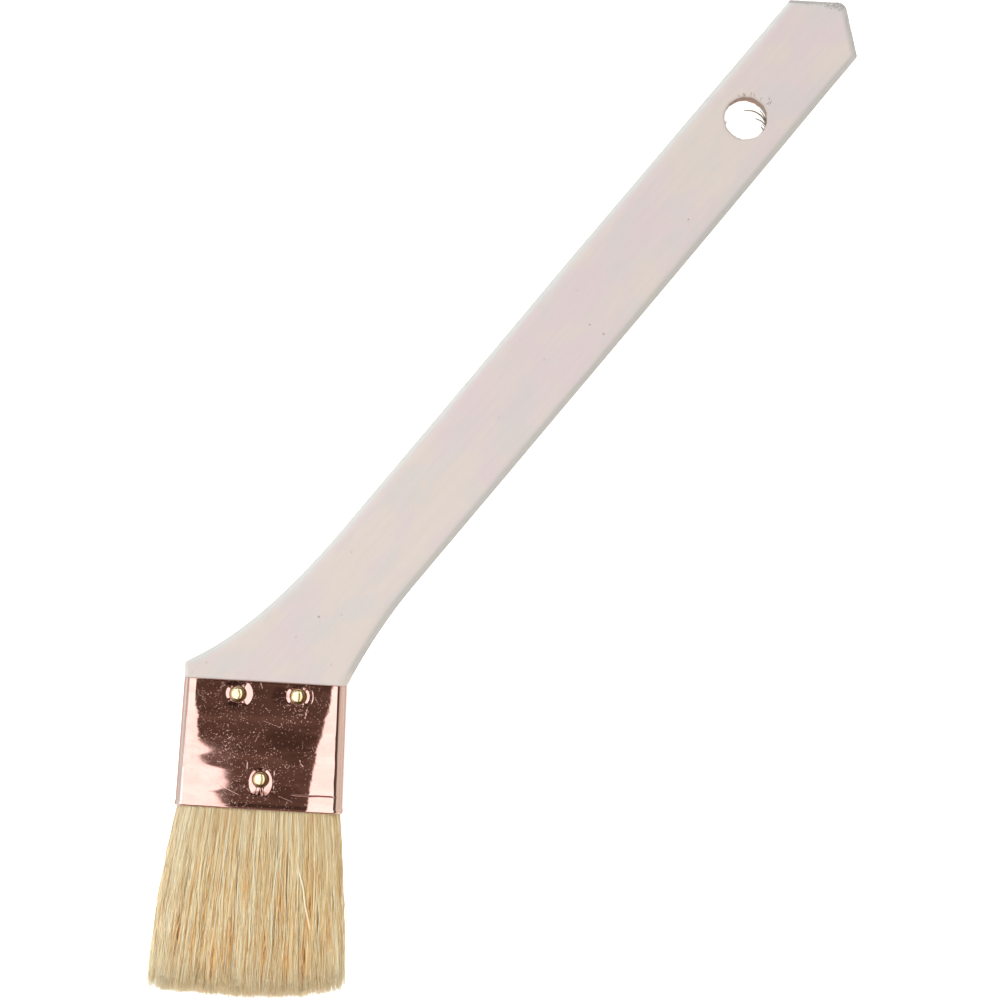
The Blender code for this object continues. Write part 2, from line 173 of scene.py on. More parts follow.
def ring_quads(index):
    """Faces between neighbouring rings, from point numbers by ring and by place in the ring."""
    after = np.roll(index, -1, axis=-1)
    corners = (index[..., :-1, :], index[..., 1:, :], after[..., 1:, :], after[..., :-1, :])
    return np.stack(corners, axis=-1).reshape(-1, 4)


# ------------------------------------------------------------------ shader nodes


class Nodes:
    """A node tree, with short calls for the nodes that the materials and the sky need."""

    def __init__(self, tree):
        self.tree = tree

    def put(self, socket, value):
        if isinstance(value, bpy.types.NodeSocket):
            self.tree.links.new(value, socket)
        else:
            socket.default_value = value

    def node(self, kind, inputs=(), **settings):
        """A new node, with its inputs in order, or by name or number in a dictionary."""
        made = self.tree.nodes.new(kind)
        for key, value in settings.items():
            setattr(made, key, value)
        for key, value in inputs.items() if isinstance(inputs, dict) else enumerate(inputs):
            self.put(made.inputs[key], value)
        return made

    def math(self, operation, *values, clamp=False):
        return self.node("ShaderNodeMath", values, operation=operation, use_clamp=clamp).outputs[0]

    def plus(self, first, second, clamp=False):
        return self.math("ADD", first, second, clamp=clamp)

    def minus(self, first, second):
        return self.math("SUBTRACT", first, second)

    def times(self, first, second):
        return self.math("MULTIPLY", first, second)

    def most(self, first, *others):
        for other in others:
            first = self.math("MAXIMUM", first, other)
        return first

    def mix(self, share, first, second):
        """From the first colour to the second; a mix node's colour sockets are numbers 6 and 7."""
        return self.node("ShaderNodeMix", {0: share, 6: first, 7: second}, data_type="RGBA").outputs[2]

    def ramp(self, value, low, high, to_low=0.0, to_high=1.0):
        """A soft step from `to_low` at `low` to `to_high` at `high`."""
        inputs = (value, low, high, to_low, to_high)
        return self.node("ShaderNodeMapRange", inputs, interpolation_type="SMOOTHSTEP").outputs[0]

    def axes(self, vector):
        return self.node("ShaderNodeSeparateXYZ", (vector,)).outputs

    def vector(self, operation, *values):
        return self.node("ShaderNodeVectorMath", values, operation=operation).outputs["Vector"]

    def measure(self, operation, first, second):
        return self.node("ShaderNodeVectorMath", (first, second), operation=operation).outputs["Value"]

    def scaled(self, colour, level):
        inputs = {0: colour, "Scale": level}
        return self.node("ShaderNodeVectorMath", inputs, operation="SCALE").outputs["Vector"]


class Shader(Nodes):
    """A material's nodes, with patterns that are laid out in millimetres.

    A pattern's scale is its number of cells to the millimetre along X, Y and Z. Its X axis is first
    turned about Z by `turn`, and `shift` moves it, in cells.
    """

    def __init__(self, name):
        self.material = bpy.data.materials.new(name)
        self.material.use_nodes = True
        super().__init__(self.material.node_tree)

    def finished(self, **inputs):
        """The material, with these inputs of its Principled node set or linked."""
        sockets = self.tree.nodes["Principled BSDF"].inputs
        for key, value in inputs.items():
            self.put(sockets[key.replace("_", " ")], value)
        return self.material

    def mark(self, name):
        return self.node("ShaderNodeAttribute", attribute_name=name).outputs["Fac"]

    def place(self, scale=(1.0, 1.0, 1.0), turn=0.0, shift=(0.0, 0.0, 0.0)):
        where = self.node("ShaderNodeTexCoord").outputs["Object"]
        moved = self.vector("SUBTRACT", where, tuple(float(v) for v in ORIGIN))
        inputs = {"Vector": moved, "Angle": -turn}
        turned = self.node("ShaderNodeVectorRotate", inputs, rotation_type="Z_AXIS").outputs[0]
        return self.vector("MULTIPLY_ADD", turned, tuple(v / MM for v in scale), shift)

    def noise(self, scale, detail=2.0, roughness=0.5, distortion=0.0, **layout):
        inputs = {
            "Vector": self.place(scale, **layout), "Scale": 1.0,
            "Detail": detail, "Roughness": roughness, "Distortion": distortion,
        }
        return self.node("ShaderNodeTexNoise", inputs).outputs["Fac"]

    def cells(self, scale, **layout):
        inputs = {"Vector": self.place(scale, **layout), "Scale": 1.0}
        return self.node("ShaderNodeTexVoronoi", inputs).outputs

    def flecks(self, scale, size, share, **layout):
        """Small spots in a share of the cells of a scattered grid."""
        cells = self.cells(scale, **layout)
        spots = self.ramp(cells["Distance"], size, 0.5 * size)
        return self.times(spots, self.math("GREATER_THAN", share, self.axes(cells["Color"])[0]))

    def bump(self, height, distance, strength, below=None):
        """A relief so many millimetres deep, on top of the one below."""
        inputs = {"Height": height, "Distance": distance * MM, "Strength": strength}
        if below is not None:
            inputs["Normal"] = below
        return self.node("ShaderNodeBump", inputs).outputs[0]


# ------------------------------------------------------------------ handle

HANDLE_VOXEL = 0.45 * MM
DRAWN_BACK = 0.9  # how far the remeshed board is drawn back onto the CAD faces
BEVEL = (1.35, 0.35)  # how far in and down the long edges are sanded
PAINTED_SHEEN_BAND = (1.15, 0.85)  # how far in the left edge's grey painted sheen starts and is full, in bevel widths
PAINTED_SHADE_BAND = (1.5, 0.75)  # the same for the right edge's painted shade
WOOD_WAVE = 0.05  # sanding waves
WOOD_GRAIN = 0.022
BORE_ROUGH = 0.20
BORE_FLARE = 0.32  # how much wider the hole is at the back
BORE_LIP = 0.40  # how far torn wood narrows its upper side
LIP_BEARING = math.radians(98.0)  # from the ferrule's X axis
RIM_CHIP = 0.6
RIM_WIDTH = 1.15
CHIP_BEARING = math.radians(62.0)  # where the hole's rim is chipped most
CUT_ROUGH = 0.45
TIP_NORMAL = (0.796, 0.605)  # of the tip's two sloping ends, along and to the side
WOOD_SPECKS = ((12.5, 17.0, 0.42), (79.5, 91.7, 0.40), (75.9, 93.8, 0.34), (99.0, 121.5, 0.3))  # x, y, size
FIBRES = (  # torn fibres in the hang hole: points from its centre, height and radius
    (((5.5, -1.6), (4.9, -0.5), (4.1, 0.7), (2.9, 1.5), (1.6, 2.0), (-0.5, 1.9)), 4.6, 0.23),
    (((5.5, -1.7), (4.8, -1.1), (3.9, -0.4), (2.35, 0.1)), 4.3, 0.21),
    (((5.4, -0.9), (4.9, 0.2), (4.2, 1.3), (3.4, 2.2)), 4.5, 0.17),
    (((5.1, -2.6), (4.4, -2.4), (4.0, -1.8)), 4.2, 0.22),
    (((5.3, -2.0), (4.7, -1.7), (4.2, -1.2)), 4.4, 0.13),
    (((-5.5, -1.9), (-4.9, -1.6), (-4.6, -1.1)), 4.2, 0.12),
    (((-5.5, -1.2), (-5.0, -1.2), (-4.8, -0.8)), 4.0, 0.10),
    (((-4.4, 3.4), (-4.0, 3.2), (-3.8, 2.9)), 4.3, 0.10),
)
SPLINTERS = (  # on the face by the hole: start from its centre, heading in degrees and length
    (5.3, 3.3, 60.0, 1.9),
    (4.6, 3.6, 35.0, 1.5),
    (5.6, 4.6, 100.0, 1.2),
    (3.3, 4.5, 75.0, 1.2),
    (1.9, 5.4, 110.0, 1.1),
    (0.8, 5.5, 80.0, 1.3),
    (-0.6, 5.5, 120.0, 0.9),
    (-1.9, 5.2, 130.0, 0.8),
)
SPLINTER_RADIUS = 0.10
FIBRE_POINTS = 21
FIBRE_SIDES = 6


def handle_axes():
    ahead = np.array((math.cos(HANDLE_LEAN), math.sin(HANDLE_LEAN)))
    return ahead, np.array((-ahead[1], ahead[0]))


def to_handle(points):
    """Distances along the handle and to the left of its middle line."""
    ahead, side = handle_axes()
    return points[:, :2] @ ahead, points[:, :2] @ side - HANDLE_OFFSET


def on_handle(along, left, z):
    ahead, side = handle_axes()
    flat = ahead * along + side * (HANDLE_OFFSET + left)
    return np.array((flat[0], flat[1], z))


def outline_tree(board):
    """The board's outer side faces, without the hang hole's, to measure from."""
    kept = board.copy()
    centre = on_handle(HOLE_ALONG, HOLE_LEFT, 0.0) * MM + ORIGIN
    near_hole = 1.4 * HOLE_RADIUS * MM
    others = [
        face for face in kept.faces
        if abs(face.normal.z) > 0.2 or math.dist(face.calc_center_median()[:2], centre[:2]) < near_hole
    ]
    bmesh.ops.delete(kept, geom=others, context="FACES")
    tree = BVHTree.FromBMesh(kept)
    kept.free()
    return tree


def vertex_values(mesh, key):
    flat = np.empty(len(mesh.vertices) * 3, np.float32)
    mesh.vertices.foreach_get(key, flat)
    return flat.reshape(-1, 3).astype(float)


def move_vertices(mesh, places):
    mesh.vertices.foreach_set("co", places.astype(np.float32).ravel())
    mesh.update()


def fine_board():
    """The CAD board remeshed finely on its own faces, where its points are, and its outline."""
    obj = add_object("handle_board", NODES["handle"].data.copy())
    welded = bmesh.new()
    welded.from_mesh(obj.data)
    bmesh.ops.remove_doubles(welded, verts=welded.verts, dist=0.001 * MM)
    tree, outline = BVHTree.FromBMesh(welded), outline_tree(welded)
    welded.to_mesh(obj.data)
    welded.free()
    remesh = obj.modifiers.new("fine", "REMESH")
    remesh.mode = "VOXEL"
    remesh.voxel_size = HANDLE_VOXEL
    depsgraph = bpy.context.evaluated_depsgraph_get()
    fine = bpy.data.meshes.new_from_object(obj.evaluated_get(depsgraph))
    obj.modifiers.clear()
    obj.data = fine
    fine.name = "handle_board"
    near = np.array([tuple(tree.find_nearest(vert.co)[0]) for vert in fine.vertices])
    world = vertex_values(fine, "co")
    world = world + DRAWN_BACK * (near - world)
    move_vertices(fine, world)
    return obj, world, outline


def sawn_depth(along, left, z):
    """How deep the saw tore the two sloping ends of the tip, most of all by the apex."""
    apex = TIP_APEX - along
    from_top = apex * TIP_NORMAL[0] - left * TIP_NORMAL[1]
    from_right = apex * TIP_NORMAL[0] + left * TIP_NORMAL[1]
    to_apex = smooth(11.0, 1.0, left)
    top_width = 0.55 + 0.55 * to_apex
    top_cut = smooth(top_width + 0.3, top_width - 0.3, from_top)
    right_cut = smooth(0.6, 0.1, from_right)
    torn = np.maximum(0.0, fractal(np.c_[along / 1.2, left / 0.8, z / 0.8], 29))
    return CUT_ROUGH * torn * (top_cut * (0.4 + 1.6 * to_apex) + 0.3 * right_cut)


def hole_wear(along, left, z, facing_out):
    """Which points are in the hang hole's bore, its rough surface, and how deep and worn its rim is."""
    hole_along, hole_left = along - HOLE_ALONG, left - HOLE_LEFT
    from_hole, turn = np.hypot(hole_along, hole_left), np.arctan2(hole_left, hole_along)
    around, bearing = np.c_[np.cos(turn), np.sin(turn)], turn + HANDLE_LEAN
    in_bore = (from_hole < HOLE_RADIUS + 0.35) & (facing_out < 0.75)
    ragged = BORE_ROUGH * fractal(np.c_[around * 7, z / 2.2], 11)
    lip = BORE_LIP * smooth(5.0, 1.0, z) * smooth(0.25, 0.9, np.cos(bearing - LIP_BEARING))
    bore = ragged + lip - BORE_FLARE * smooth(4.0, -5.0, z)
    rim = smooth(RIM_WIDTH, 0.1, from_hole - HOLE_RADIUS) * (facing_out > 0.3)
    chips = np.maximum(0.0, fractal(np.c_[around * 4.5, np.sign(z) * 3.0], 31))
    exposed = 0.05 + 0.95 * smooth(-0.2, 0.75, np.cos(bearing - CHIP_BEARING))
    worn = np.clip(rim * (0.12 + 0.9 * chips) * exposed, 0, 0.6)
    return in_bore, bore, RIM_CHIP * rim * chips * exposed, worn


def make_handle(material):
    """The board given grain, sanded edges, a rough bore and ends, and a chipped rim."""
    obj, world, outline = fine_board()
    normals = vertex_values(obj.data, "normal")
    points = (world - ORIGIN) / MM
    along, left = to_handle(points)
    z = points[:, 2]
    above_ferrule = smooth(0.2, 3.0, points[:, 1])
    waves = WOOD_WAVE * value_noise(np.c_[along / 26, left / 9, z / 9], 3)
    grain = WOOD_GRAIN * fractal(np.c_[along / 16, left / 1.3, z / 1.3], 5, 2)

    level = np.c_[world[:, :2], np.full(len(world), ORIGIN[2])]
    from_side = np.array([outline.find_nearest(spot)[3] for spot in level.tolist()]) / MM
    on_face = np.abs(z) > HANDLE_HALF_THICKNESS - BEVEL[0]
    bevel = BEVEL[1] * smooth(BEVEL[0], 0.0, from_side) ** 2 * on_face * above_ferrule

    # The wood stays plain inside the ferrule, the bore has a surface of its own, and cuts go inwards.
    in_bore, bore, chipped, worn = hole_wear(along, left, z, np.abs(normals[:, 2]))
    push = np.where(in_bore, bore, (waves + grain) * above_ferrule)
    push -= sawn_depth(along, left, z)
    push -= chipped
    points += normals * push[:, None]
    points[:, 2] -= np.sign(z) * bevel
    move_vertices(obj.data, points * MM + ORIGIN)

    past_neck = smooth(2.0, 5.0, points[:, 1]) * ~in_bore
    # The left sanded edge gets a grey painted sheen and the right one painted shade, as the light falls on
    # them.
    edge, painted_shade_edge = [smooth(out * BEVEL[0], full * BEVEL[0], from_side) for out, full in (PAINTED_SHEEN_BAND, PAINTED_SHADE_BAND)]
    put_marks(obj.data, {
        "bore": np.where(in_bore, 0.95, 0.0) * smooth(5.0, 4.4, np.abs(z)),
        "edge": edge * (left > 0) * past_neck * 0.85,
        "painted_shade_edge": painted_shade_edge * (left < 0) * past_neck * 0.8,
        "worn": worn,
    })
    obj.data.shade_smooth()
    obj.data.materials.clear()
    obj.data.materials.append(material)
    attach(obj, BODY)
    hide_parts("handle")


def make_hole_fibres(material):
    """Fibres torn loose inside the hole's front rim, and splinters lifted on the face beside it."""
    centre = on_handle(HOLE_ALONG, HOLE_LEFT, 0.0)
    share = np.linspace(0.0, 1.0, FIBRE_POINTS)
    lines, radii = [], []
    for points, height, radius in FIBRES:
        bend = eased(points, FIBRE_POINTS)
        lines.append(centre + np.c_[bend, height + 0.5 * share])
        radii.append(radius * (1.0 - 0.5 * share**2))
    for x, y, degrees, length in SPLINTERS:
        heading = math.radians(degrees) + 0.5 * (share - 0.5)
        steps = np.c_[np.cos(heading), np.sin(heading), 0.0 * share] * length / (len(share) - 1)
        foot = centre + np.array((x, y, HANDLE_HALF_THICKNESS - 0.3 * SPLINTER_RADIUS))
        lines.append(foot + np.cumsum(steps, axis=0))
        radii.append(SPLINTER_RADIUS * np.sin(math.pi * (0.12 + 0.8 * share)))
    obj = fibre_piece("hole_fibres", np.array(lines), np.array(radii), material)
    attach(obj, BODY)


def fibre_piece(name, lines, radii, material):
    """Round tapering tubes along lines, whatever way they run."""
    ahead = np.gradient(lines, axis=1)
    ahead /= np.linalg.norm(ahead, axis=-1, keepdims=True)
    first = np.cross(ahead, np.array((0.0, 0.0, 1.0)))
    first /= np.linalg.norm(first, axis=-1, keepdims=True)
    second = np.cross(first, ahead)
    angles = np.arange(FIBRE_SIDES) * 2 * math.pi / FIBRE_SIDES
    ring = (
        np.cos(angles)[None, None, :, None] * first[:, :, None, :]
        + np.sin(angles)[None, None, :, None] * second[:, :, None, :]
    )
    points = lines[:, :, None, :] + radii[:, :, None, None] * ring
    index = np.arange(radii.size * FIBRE_SIDES).reshape(*radii.shape, FIBRE_SIDES)
    quads = ring_quads(index)[:, (0, 3, 2, 1)]  # turned to face outwards
    caps = np.concatenate((index[:, 0, ::-1], index[:, -1, :]))
    return new_piece(name, points.reshape(-1, 3), quads.tolist() + caps.tolist(), material, {})


def wood_material():
    """Bare limed wood: mottled pink, cream and grey, with faint grain, pores and a few dark specks, and
    painted sheen and shade on its two long edges.
    """
    s = Shader("limed_wood")
    lean = {"turn": HANDLE_LEAN}
    broad = s.noise((0.050, 0.085, 0.085), 2.5, 0.55, 0.5, **lean)
    other = s.noise((0.060, 0.12, 0.12), 2.5, 0.55, 0.4, **lean, shift=(7.3, 2.1, 4.4))
    grain = s.noise((0.045, 0.9, 0.9), 4.0, 0.6, 0.25, **lean)
    fibre = s.noise((0.20, 5.0, 5.0), 3.0, 0.65, **lean, shift=(3.0, 1.0, 2.0))
    pores = s.noise((0.45, 6.5, 6.5), 1.0, 0.5, **lean, shift=(11.0, 5.0, 8.0))
    colour = s.mix(s.ramp(broad, 0.40, 0.62), srgb(213, 195, 187), srgb(214, 199, 184))
    colour = s.mix(s.ramp(other, 0.48, 0.66, 0.0, 0.7), colour, srgb(207, 197, 187))
    # Painted light on the long edges: a grey sheen on the left and shade on the right.
    colour = s.mix(s.mark("edge"), colour, srgb(203, 200, 191))
    colour = s.mix(s.mark("painted_shade_edge"), colour, srgb(190, 184, 173))
    colour = wood_specks(s, wood_ends(s, colour))
    colour = s.mix(s.mark("bore"), colour, bore_colour(s))
    colour = s.mix(s.mark("worn"), colour, srgb(176, 140, 118))
    shade = s.plus(s.ramp(grain, 0.30, 0.72, 0.985, 1.012), s.ramp(fibre, 0.3, 0.7, -0.010, 0.010))
    shade = s.minus(shade, s.ramp(pores, 0.72, 0.82, 0.0, 0.06))
    shade = s.plus(shade, s.ramp(s.axes(s.place(**lean))[0], 15.0, 215.0, 0.030, -0.028))
    relief = s.minus(s.plus(grain, s.times(fibre, 0.5)), s.ramp(pores, 0.68, 0.80, 0.0, 0.7))
    return s.finished(
        Base_Color=s.scaled(colour, shade),
        Roughness=s.ramp(grain, 0.25, 0.75, 0.56, 0.72),
        Normal=s.bump(relief, 0.04, 0.5),
        Specular_IOR_Level=0.35,
    )


def wood_specks(s, colour):
    nicks = s.flecks((0.16, 0.24, 0.2), 0.09, 0.5, turn=HANDLE_LEAN, shift=(2.0, 6.0, 1.0))
    colour = s.mix(s.times(nicks, 0.35), colour, srgb(176, 158, 146))
    flat = s.vector("MULTIPLY", s.place(), (1.0, 1.0, 0.0))
    for x, y, size in WOOD_SPECKS:
        away = s.measure("DISTANCE", flat, (x, y, 0.0))
        colour = s.mix(s.ramp(away, size, 0.4 * size, 0.0, 0.55), colour, srgb(120, 100, 84))
    return colour


def bore_colour(s):
    """The hang hole's raw wall, redder on its far side, dirty in patches and darker by its mouth."""
    _, side, depth = s.axes(s.place())
    hole_y = float(on_handle(HOLE_ALONG, HOLE_LEFT, 0.0)[1])
    bore = s.mix(s.ramp(side, hole_y + 1.6, hole_y + 4.8), srgb(170, 164, 140), srgb(194, 156, 130))
    dirt = s.noise((0.9, 0.9, 1.4), 3.0, 0.6)
    bore = s.mix(s.ramp(dirt, 0.48, 0.70, 0.0, 0.6), bore, srgb(168, 138, 112))
    return s.mix(s.ramp(depth, 3.6, 5.2, 0.0, 0.5), bore, srgb(150, 116, 92))


def wood_ends(s, colour):
    """The sawn ends of the tip: a grey-brown strip that widens and frays towards the apex."""
    ahead, side = handle_axes()
    where = s.place()
    left = s.measure("DOT_PRODUCT", where, (*side, 0.0))
    to_apex = s.ramp(left, 11.0 + HANDLE_OFFSET, 1.0 + HANDLE_OFFSET)
    at_apex = s.ramp(left, 4.5 + HANDLE_OFFSET, 0.5 + HANDLE_OFFSET, 0.0, 1.1)
    fray = s.noise((0.9, 2.6, 2.6), 3.0, 0.65, turn=HANDLE_LEAN)
    chip = s.noise((1.3, 3.4, 3.4), 2.0, 0.6, turn=HANDLE_LEAN, shift=(5.0, 3.0, 1.0))
    frayed = s.times(s.ramp(fray, 0.3, 0.7, -0.5, 0.5), s.plus(to_apex, 0.15))
    top_width = s.plus(s.math("MULTIPLY_ADD", to_apex, 0.15, 0.85), at_apex)
    strips = []
    for sign, width, strength in ((1.0, top_width, 1.0), (-1.0, 0.36, 0.55)):
        slope = ahead * TIP_NORMAL[0] + sign * side * TIP_NORMAL[1]
        reach = TIP_APEX * TIP_NORMAL[0] + sign * HANDLE_OFFSET * TIP_NORMAL[1]
        depth = s.minus(reach, s.measure("DOT_PRODUCT", where, (*slope, 0.0)))
        past = s.minus(s.plus(depth, frayed), width)
        strips.append(s.times(s.ramp(past, 0.22, -0.22), strength))
    light = s.times(s.ramp(chip, 0.50, 0.66), to_apex)
    sawn = s.mix(s.times(light, 0.8), srgb(172, 163, 154), srgb(232, 224, 212))
    sawn = s.mix(s.times(s.ramp(chip, 0.46, 0.34), to_apex), sawn, srgb(150, 138, 126))
    return s.mix(s.most(*strips), colour, sawn)


def fibre_material():
    """Torn wood fibre, greyer and darker than the planed face."""
    s = Shader("torn_fibre")
    streak = s.noise((1.6, 1.6, 1.6), 3.0, 0.6)
    return s.finished(
        Base_Color=s.mix(s.ramp(streak, 0.35, 0.65), srgb(104, 98, 80), srgb(148, 138, 114)),
        Roughness=s.ramp(streak, 0.3, 0.7, 0.6, 0.8),
        Normal=s.bump(streak, 0.05, 0.5),
    )


# ------------------------------------------------------------------ ferrule

# Where the mirror of the front face tips towards each side's light: (distance down it, across it).
LEFT_BREAK = (
    (0.0, -18.3), (5.5, -18.0), (8.5, -17.3), (14.0, -16.7), (15.5, -16.4), (16.3, -15.4), (17.2, -13.4),
    (18.3, -13.2), (19.2, -15.6), (20.6, -15.4), (21.5, -14.2), (22.4, -9.4), (25.5, -8.2), (27.0, -8.8),
    (28.1, -12.2), (29.5, -10.3), (32.1, -8.4),
)
RIGHT_BREAK = (
    (0.0, 17.4), (6.8, 16.7), (8.2, 15.9), (13.6, 15.1), (14.8, 14.5), (19.6, 13.8), (23.6, 13.0),
    (28.6, 12.8), (32.1, 12.5),
)
BREAK_TILT = math.radians(2.4)
BREAK_GAIN = 0.55  # how much steeper the face is beyond the break, and flatter before it
BREAK_WIDTH = 2.6
FACE_WAVE = 0.016
FACE_POINTS = 190
CORNER_POINTS = 22
SIDE_POINTS = 14
DOWN_POINTS = 158
SHEET = 0.4
CORNERS = ((2.65, 2.1), (3.05, 2.3))  # how far in and down the right and left corners turn
CORNER_WOBBLE = 0.12
TURNED = (0.85, 0.40)  # the outer band of each corner, from its edge
BEAD = (30.9, 1.2, 0.20)  # the roll at the mouth: where it starts, how tall it is, how far it stands out
LAP_STEP = (11.65, 11.95)  # across: where the sheet laps over itself on the back
LAP_FADE = (18.2, 16.4)
LAP_RISE = 0.3
RELIEF_FADE = (20.5, 18.6)  # across: the face's dimples and waves end before the rolled sides
DIMPLES = (  # across, along and stretch, then radius, depth and narrowness of its left and right sides
    (-6.6, -3.25, 1.0, (3.35, 0.19, 0.60), (3.95, 0.22, 0.40)),
    (8.5, -3.15, 1.0, (3.05, 0.18, 0.60), (3.15, 0.18, 0.48)),
    (0.25, -25.2, 1.36, (3.05, 0.20, 0.20), (3.2, 0.20, 0.12)),
)
DIMPLE_FLOOR = 1.2
RIPPLE = (8.5, -3.2, 3.5)  # an arc pressed beside the right nail: centre and radius
RIPPLE_HEIGHT = 0.014
CREASES = ((9.3, 0.035, 0.9), (19.2, 0.035, 0.8))  # down, depth and half width
GROOVE_DOWN = 27.9
GROOVE_DEPTH = 0.09
GROOVE_HALF = 0.17
SCARS = (  # scratches: where each starts and ends, across and along, and its half width
    (-1.7, -15.2, -0.8, -13.2, 0.055),
    (0.5, -9.9, 2.2, -10.4, 0.060),
    (2.2, -10.4, 4.5, -11.2, 0.045),
    (9.9, -19.1, 10.1, -20.0, 0.050),
    (10.1, -20.0, 10.7, -20.6, 0.050),
    (-3.3, -20.4, -3.2, -22.9, 0.075),
    (3.8, -21.7, 3.5, -24.8, 0.055),
    (3.5, -24.8, 3.9, -27.5, 0.060),
    (-1.1, -0.3, -0.6, -1.6, 0.075),
    (10.9, -6.5, 10.6, -8.6, 0.060),
    (8.2, -7.6, 10.6, -7.8, 0.050),
    (-9.6, -26.6, -5.0, -28.6, 0.040),
    (5.2, -28.4, 8.6, -29.6, 0.050),
)
SHADE_AND_TARNISH = (  # darker patches, mostly painted shade and dark reflection, darkest round the nails, with some tarnish: middle across and along, half width, half height, strength
    (6.6, -14.6, 7.2, 4.2, 0.50),
    (9.0, -18.4, 4.6, 2.0, 0.45),
    (-7.2, -6.4, 3.0, 1.6, 0.45),
    (-13.0, -8.2, 3.6, 1.4, 0.30),
    (6.5, -27.4, 5.0, 2.0, 0.35),
    (-7.9, -1.0, 1.7, 0.9, 1.0),
    (-7.6, -6.0, 1.7, 0.9, 1.0),
    (-5.6, -0.9, 0.9, 0.7, 0.8),
    (3.9, -3.4, 2.3, 2.6, 0.55),
    (8.3, -0.9, 1.4, 0.6, 0.9),
    (0.0, -22.1, 1.9, 0.8, 1.0),
    (0.2, -28.0, 2.4, 0.8, 0.9),
)


def face_drop(across, down):
    """How far the front face falls away from flat, from the tilt that the light needs."""
    grid = np.linspace(-20.5, 20.5, 165)
    left = np.interp(down, *zip(*LEFT_BREAK))
    right = np.interp(down, *zip(*RIGHT_BREAK))
    left = left + 0.35 * value_noise(np.c_[down / 0.9], 41) * smooth(14.0, 17.0, down)
    left = left + 0.05 * value_noise(np.c_[down / 1.7], 42)
    right = right + 0.05 * value_noise(np.c_[down / 2.4], 43)
    past_break = np.where(grid < 0, left[:, None] - grid, grid - right[:, None])
    steepness = 1.0 + np.tanh(past_break / BREAK_WIDTH) * BREAK_GAIN
    tilt = steepness * BREAK_TILT * smooth(-1.0, 6.0, np.abs(grid))
    step = grid[1] - grid[0]
    middle = len(grid) // 2
    height = np.zeros_like(tilt)
    height[:, middle + 1:] = np.cumsum(tilt[:, middle + 1:], axis=1) * step
    height[:, :middle] = np.cumsum(tilt[:, middle - 1::-1], axis=1)[:, ::-1] * step
    return np.array([np.interp(across[k], grid, height[k]) for k in range(len(down))])


def sheet_noise(seed, octaves, *coordinates):
    """Noise over the sheet, from coordinates in arrays of rows down it and points round it."""
    flat = np.stack([values.ravel() for values in coordinates], axis=-1)
    return fractal(flat, seed, octaves).reshape(coordinates[0].shape)


def from_groove(across, along):
    return along + GROOVE_DOWN + 0.10 * sheet_noise(77, 1, across / 2.5)


def face_marks(across, along):
    """Dimples round the nails, pressed creases and slight waves, as heights."""
    height = np.zeros_like(across)
    for x, y, stretch, *sides in DIMPLES:
        dx, dy = across - x, (y - along) / stretch
        away = np.maximum(np.hypot(dx, dy), 0.01)
        for sign, (radius, depth, narrow) in zip((-1.0, 1.0), sides):
            facing = smooth(narrow, min(1.0, narrow + 0.35), sign * dx / away)
            height -= depth * smooth(radius, DIMPLE_FLOOR, away) * facing
    dx, dy = across - RIPPLE[0], along - RIPPLE[1]
    away = np.hypot(dx, dy)
    height += RIPPLE_HEIGHT * bell(away - RIPPLE[2], 0.2) * smooth(0.7, 0.95, dx / away)
    for place, depth, half in CREASES:
        wander = 0.25 * sheet_noise(int(place), 1, across / 7.0)
        height += depth * np.tanh((along + place + wander) / half) * 0.5
    height -= GROOVE_DEPTH * bell(from_groove(across, along), GROOVE_HALF) * smooth(8.0, 12.0, across)
    return height + FACE_WAVE * sheet_noise(51, 2, across / 16.0, -along / 3.6)


def scratches(across, along):
    scar = np.zeros_like(across)
    for x1, y1, x2, y2, half in SCARS:
        run = np.array((x2 - x1, y2 - y1))
        share = np.clip(((across - x1) * run[0] + (along - y1) * run[1]) / (run @ run), 0.0, 1.0)
        away = np.hypot(across - x1 - share * run[0], along - y1 - share * run[1])
        scar = np.maximum(scar, smooth(half + 0.06, half - 0.04, away))
    return scar


def shade_and_tarnish_patches(across, along):
    shade = np.zeros_like(across)
    ragged = sheet_noise(91, 2, across / 4.0, along / 1.1)
    for x, y, width, height, depth in SHADE_AND_TARNISH:
        away = np.hypot((across - x) / width, (along - y) / height)
        shade = np.maximum(shade, depth * smooth(1.15, 0.45, away + 0.35 * ragged))
    return shade


def ferrule_wear_and_shade(across, along, front):
    """Where the front is scratched, specked and dull, and where painted shade darkens it in patches, along
    its groove and round the nails; the back only has a few specks.
    """
    # Painted shade along the groove's right part and in a ring round each nail head, rougher there as well.
    grime_and_shade = bell(from_groove(across, along), 0.20) * smooth(7.5, 9.5, across) * smooth(18.9, 18.3, across)
    # Specks crowd in a scuffed band, in the lower left corner, over the left half and round each nail.
    busy = 0.30 * bell(along + 18.2, 1.6) * smooth(7.0, 1.0, across)
    busy += 0.22 * smooth(-10.0, -19.0, along) * smooth(-2.0, -9.0, across)
    busy += 0.12 * smooth(2.0, -6.0, across)
    for x, y in NAIL_PLACES:
        away = np.hypot(across - x, along - y)
        grime_and_shade = np.maximum(grime_and_shade, smooth(NAIL_HEAD_RADIUS + 0.22, NAIL_HEAD_RADIUS, away))
        busy += 0.28 * smooth(6.5, 3.0, away)
    marks = {
        "scar": scratches(across, along),
        "grime_and_shade": np.clip(grime_and_shade, 0, 1),
        "dull": smooth(-13.5, -16.5, along) * smooth(-4.0, -8.0, across),
        "shade": shade_and_tarnish_patches(across, along),
    }
    marks = {key: np.where(front, values, 0.0) for key, values in marks.items()}
    return marks | {"busy": np.where(front, np.clip(busy, 0, 1), 0.3)}


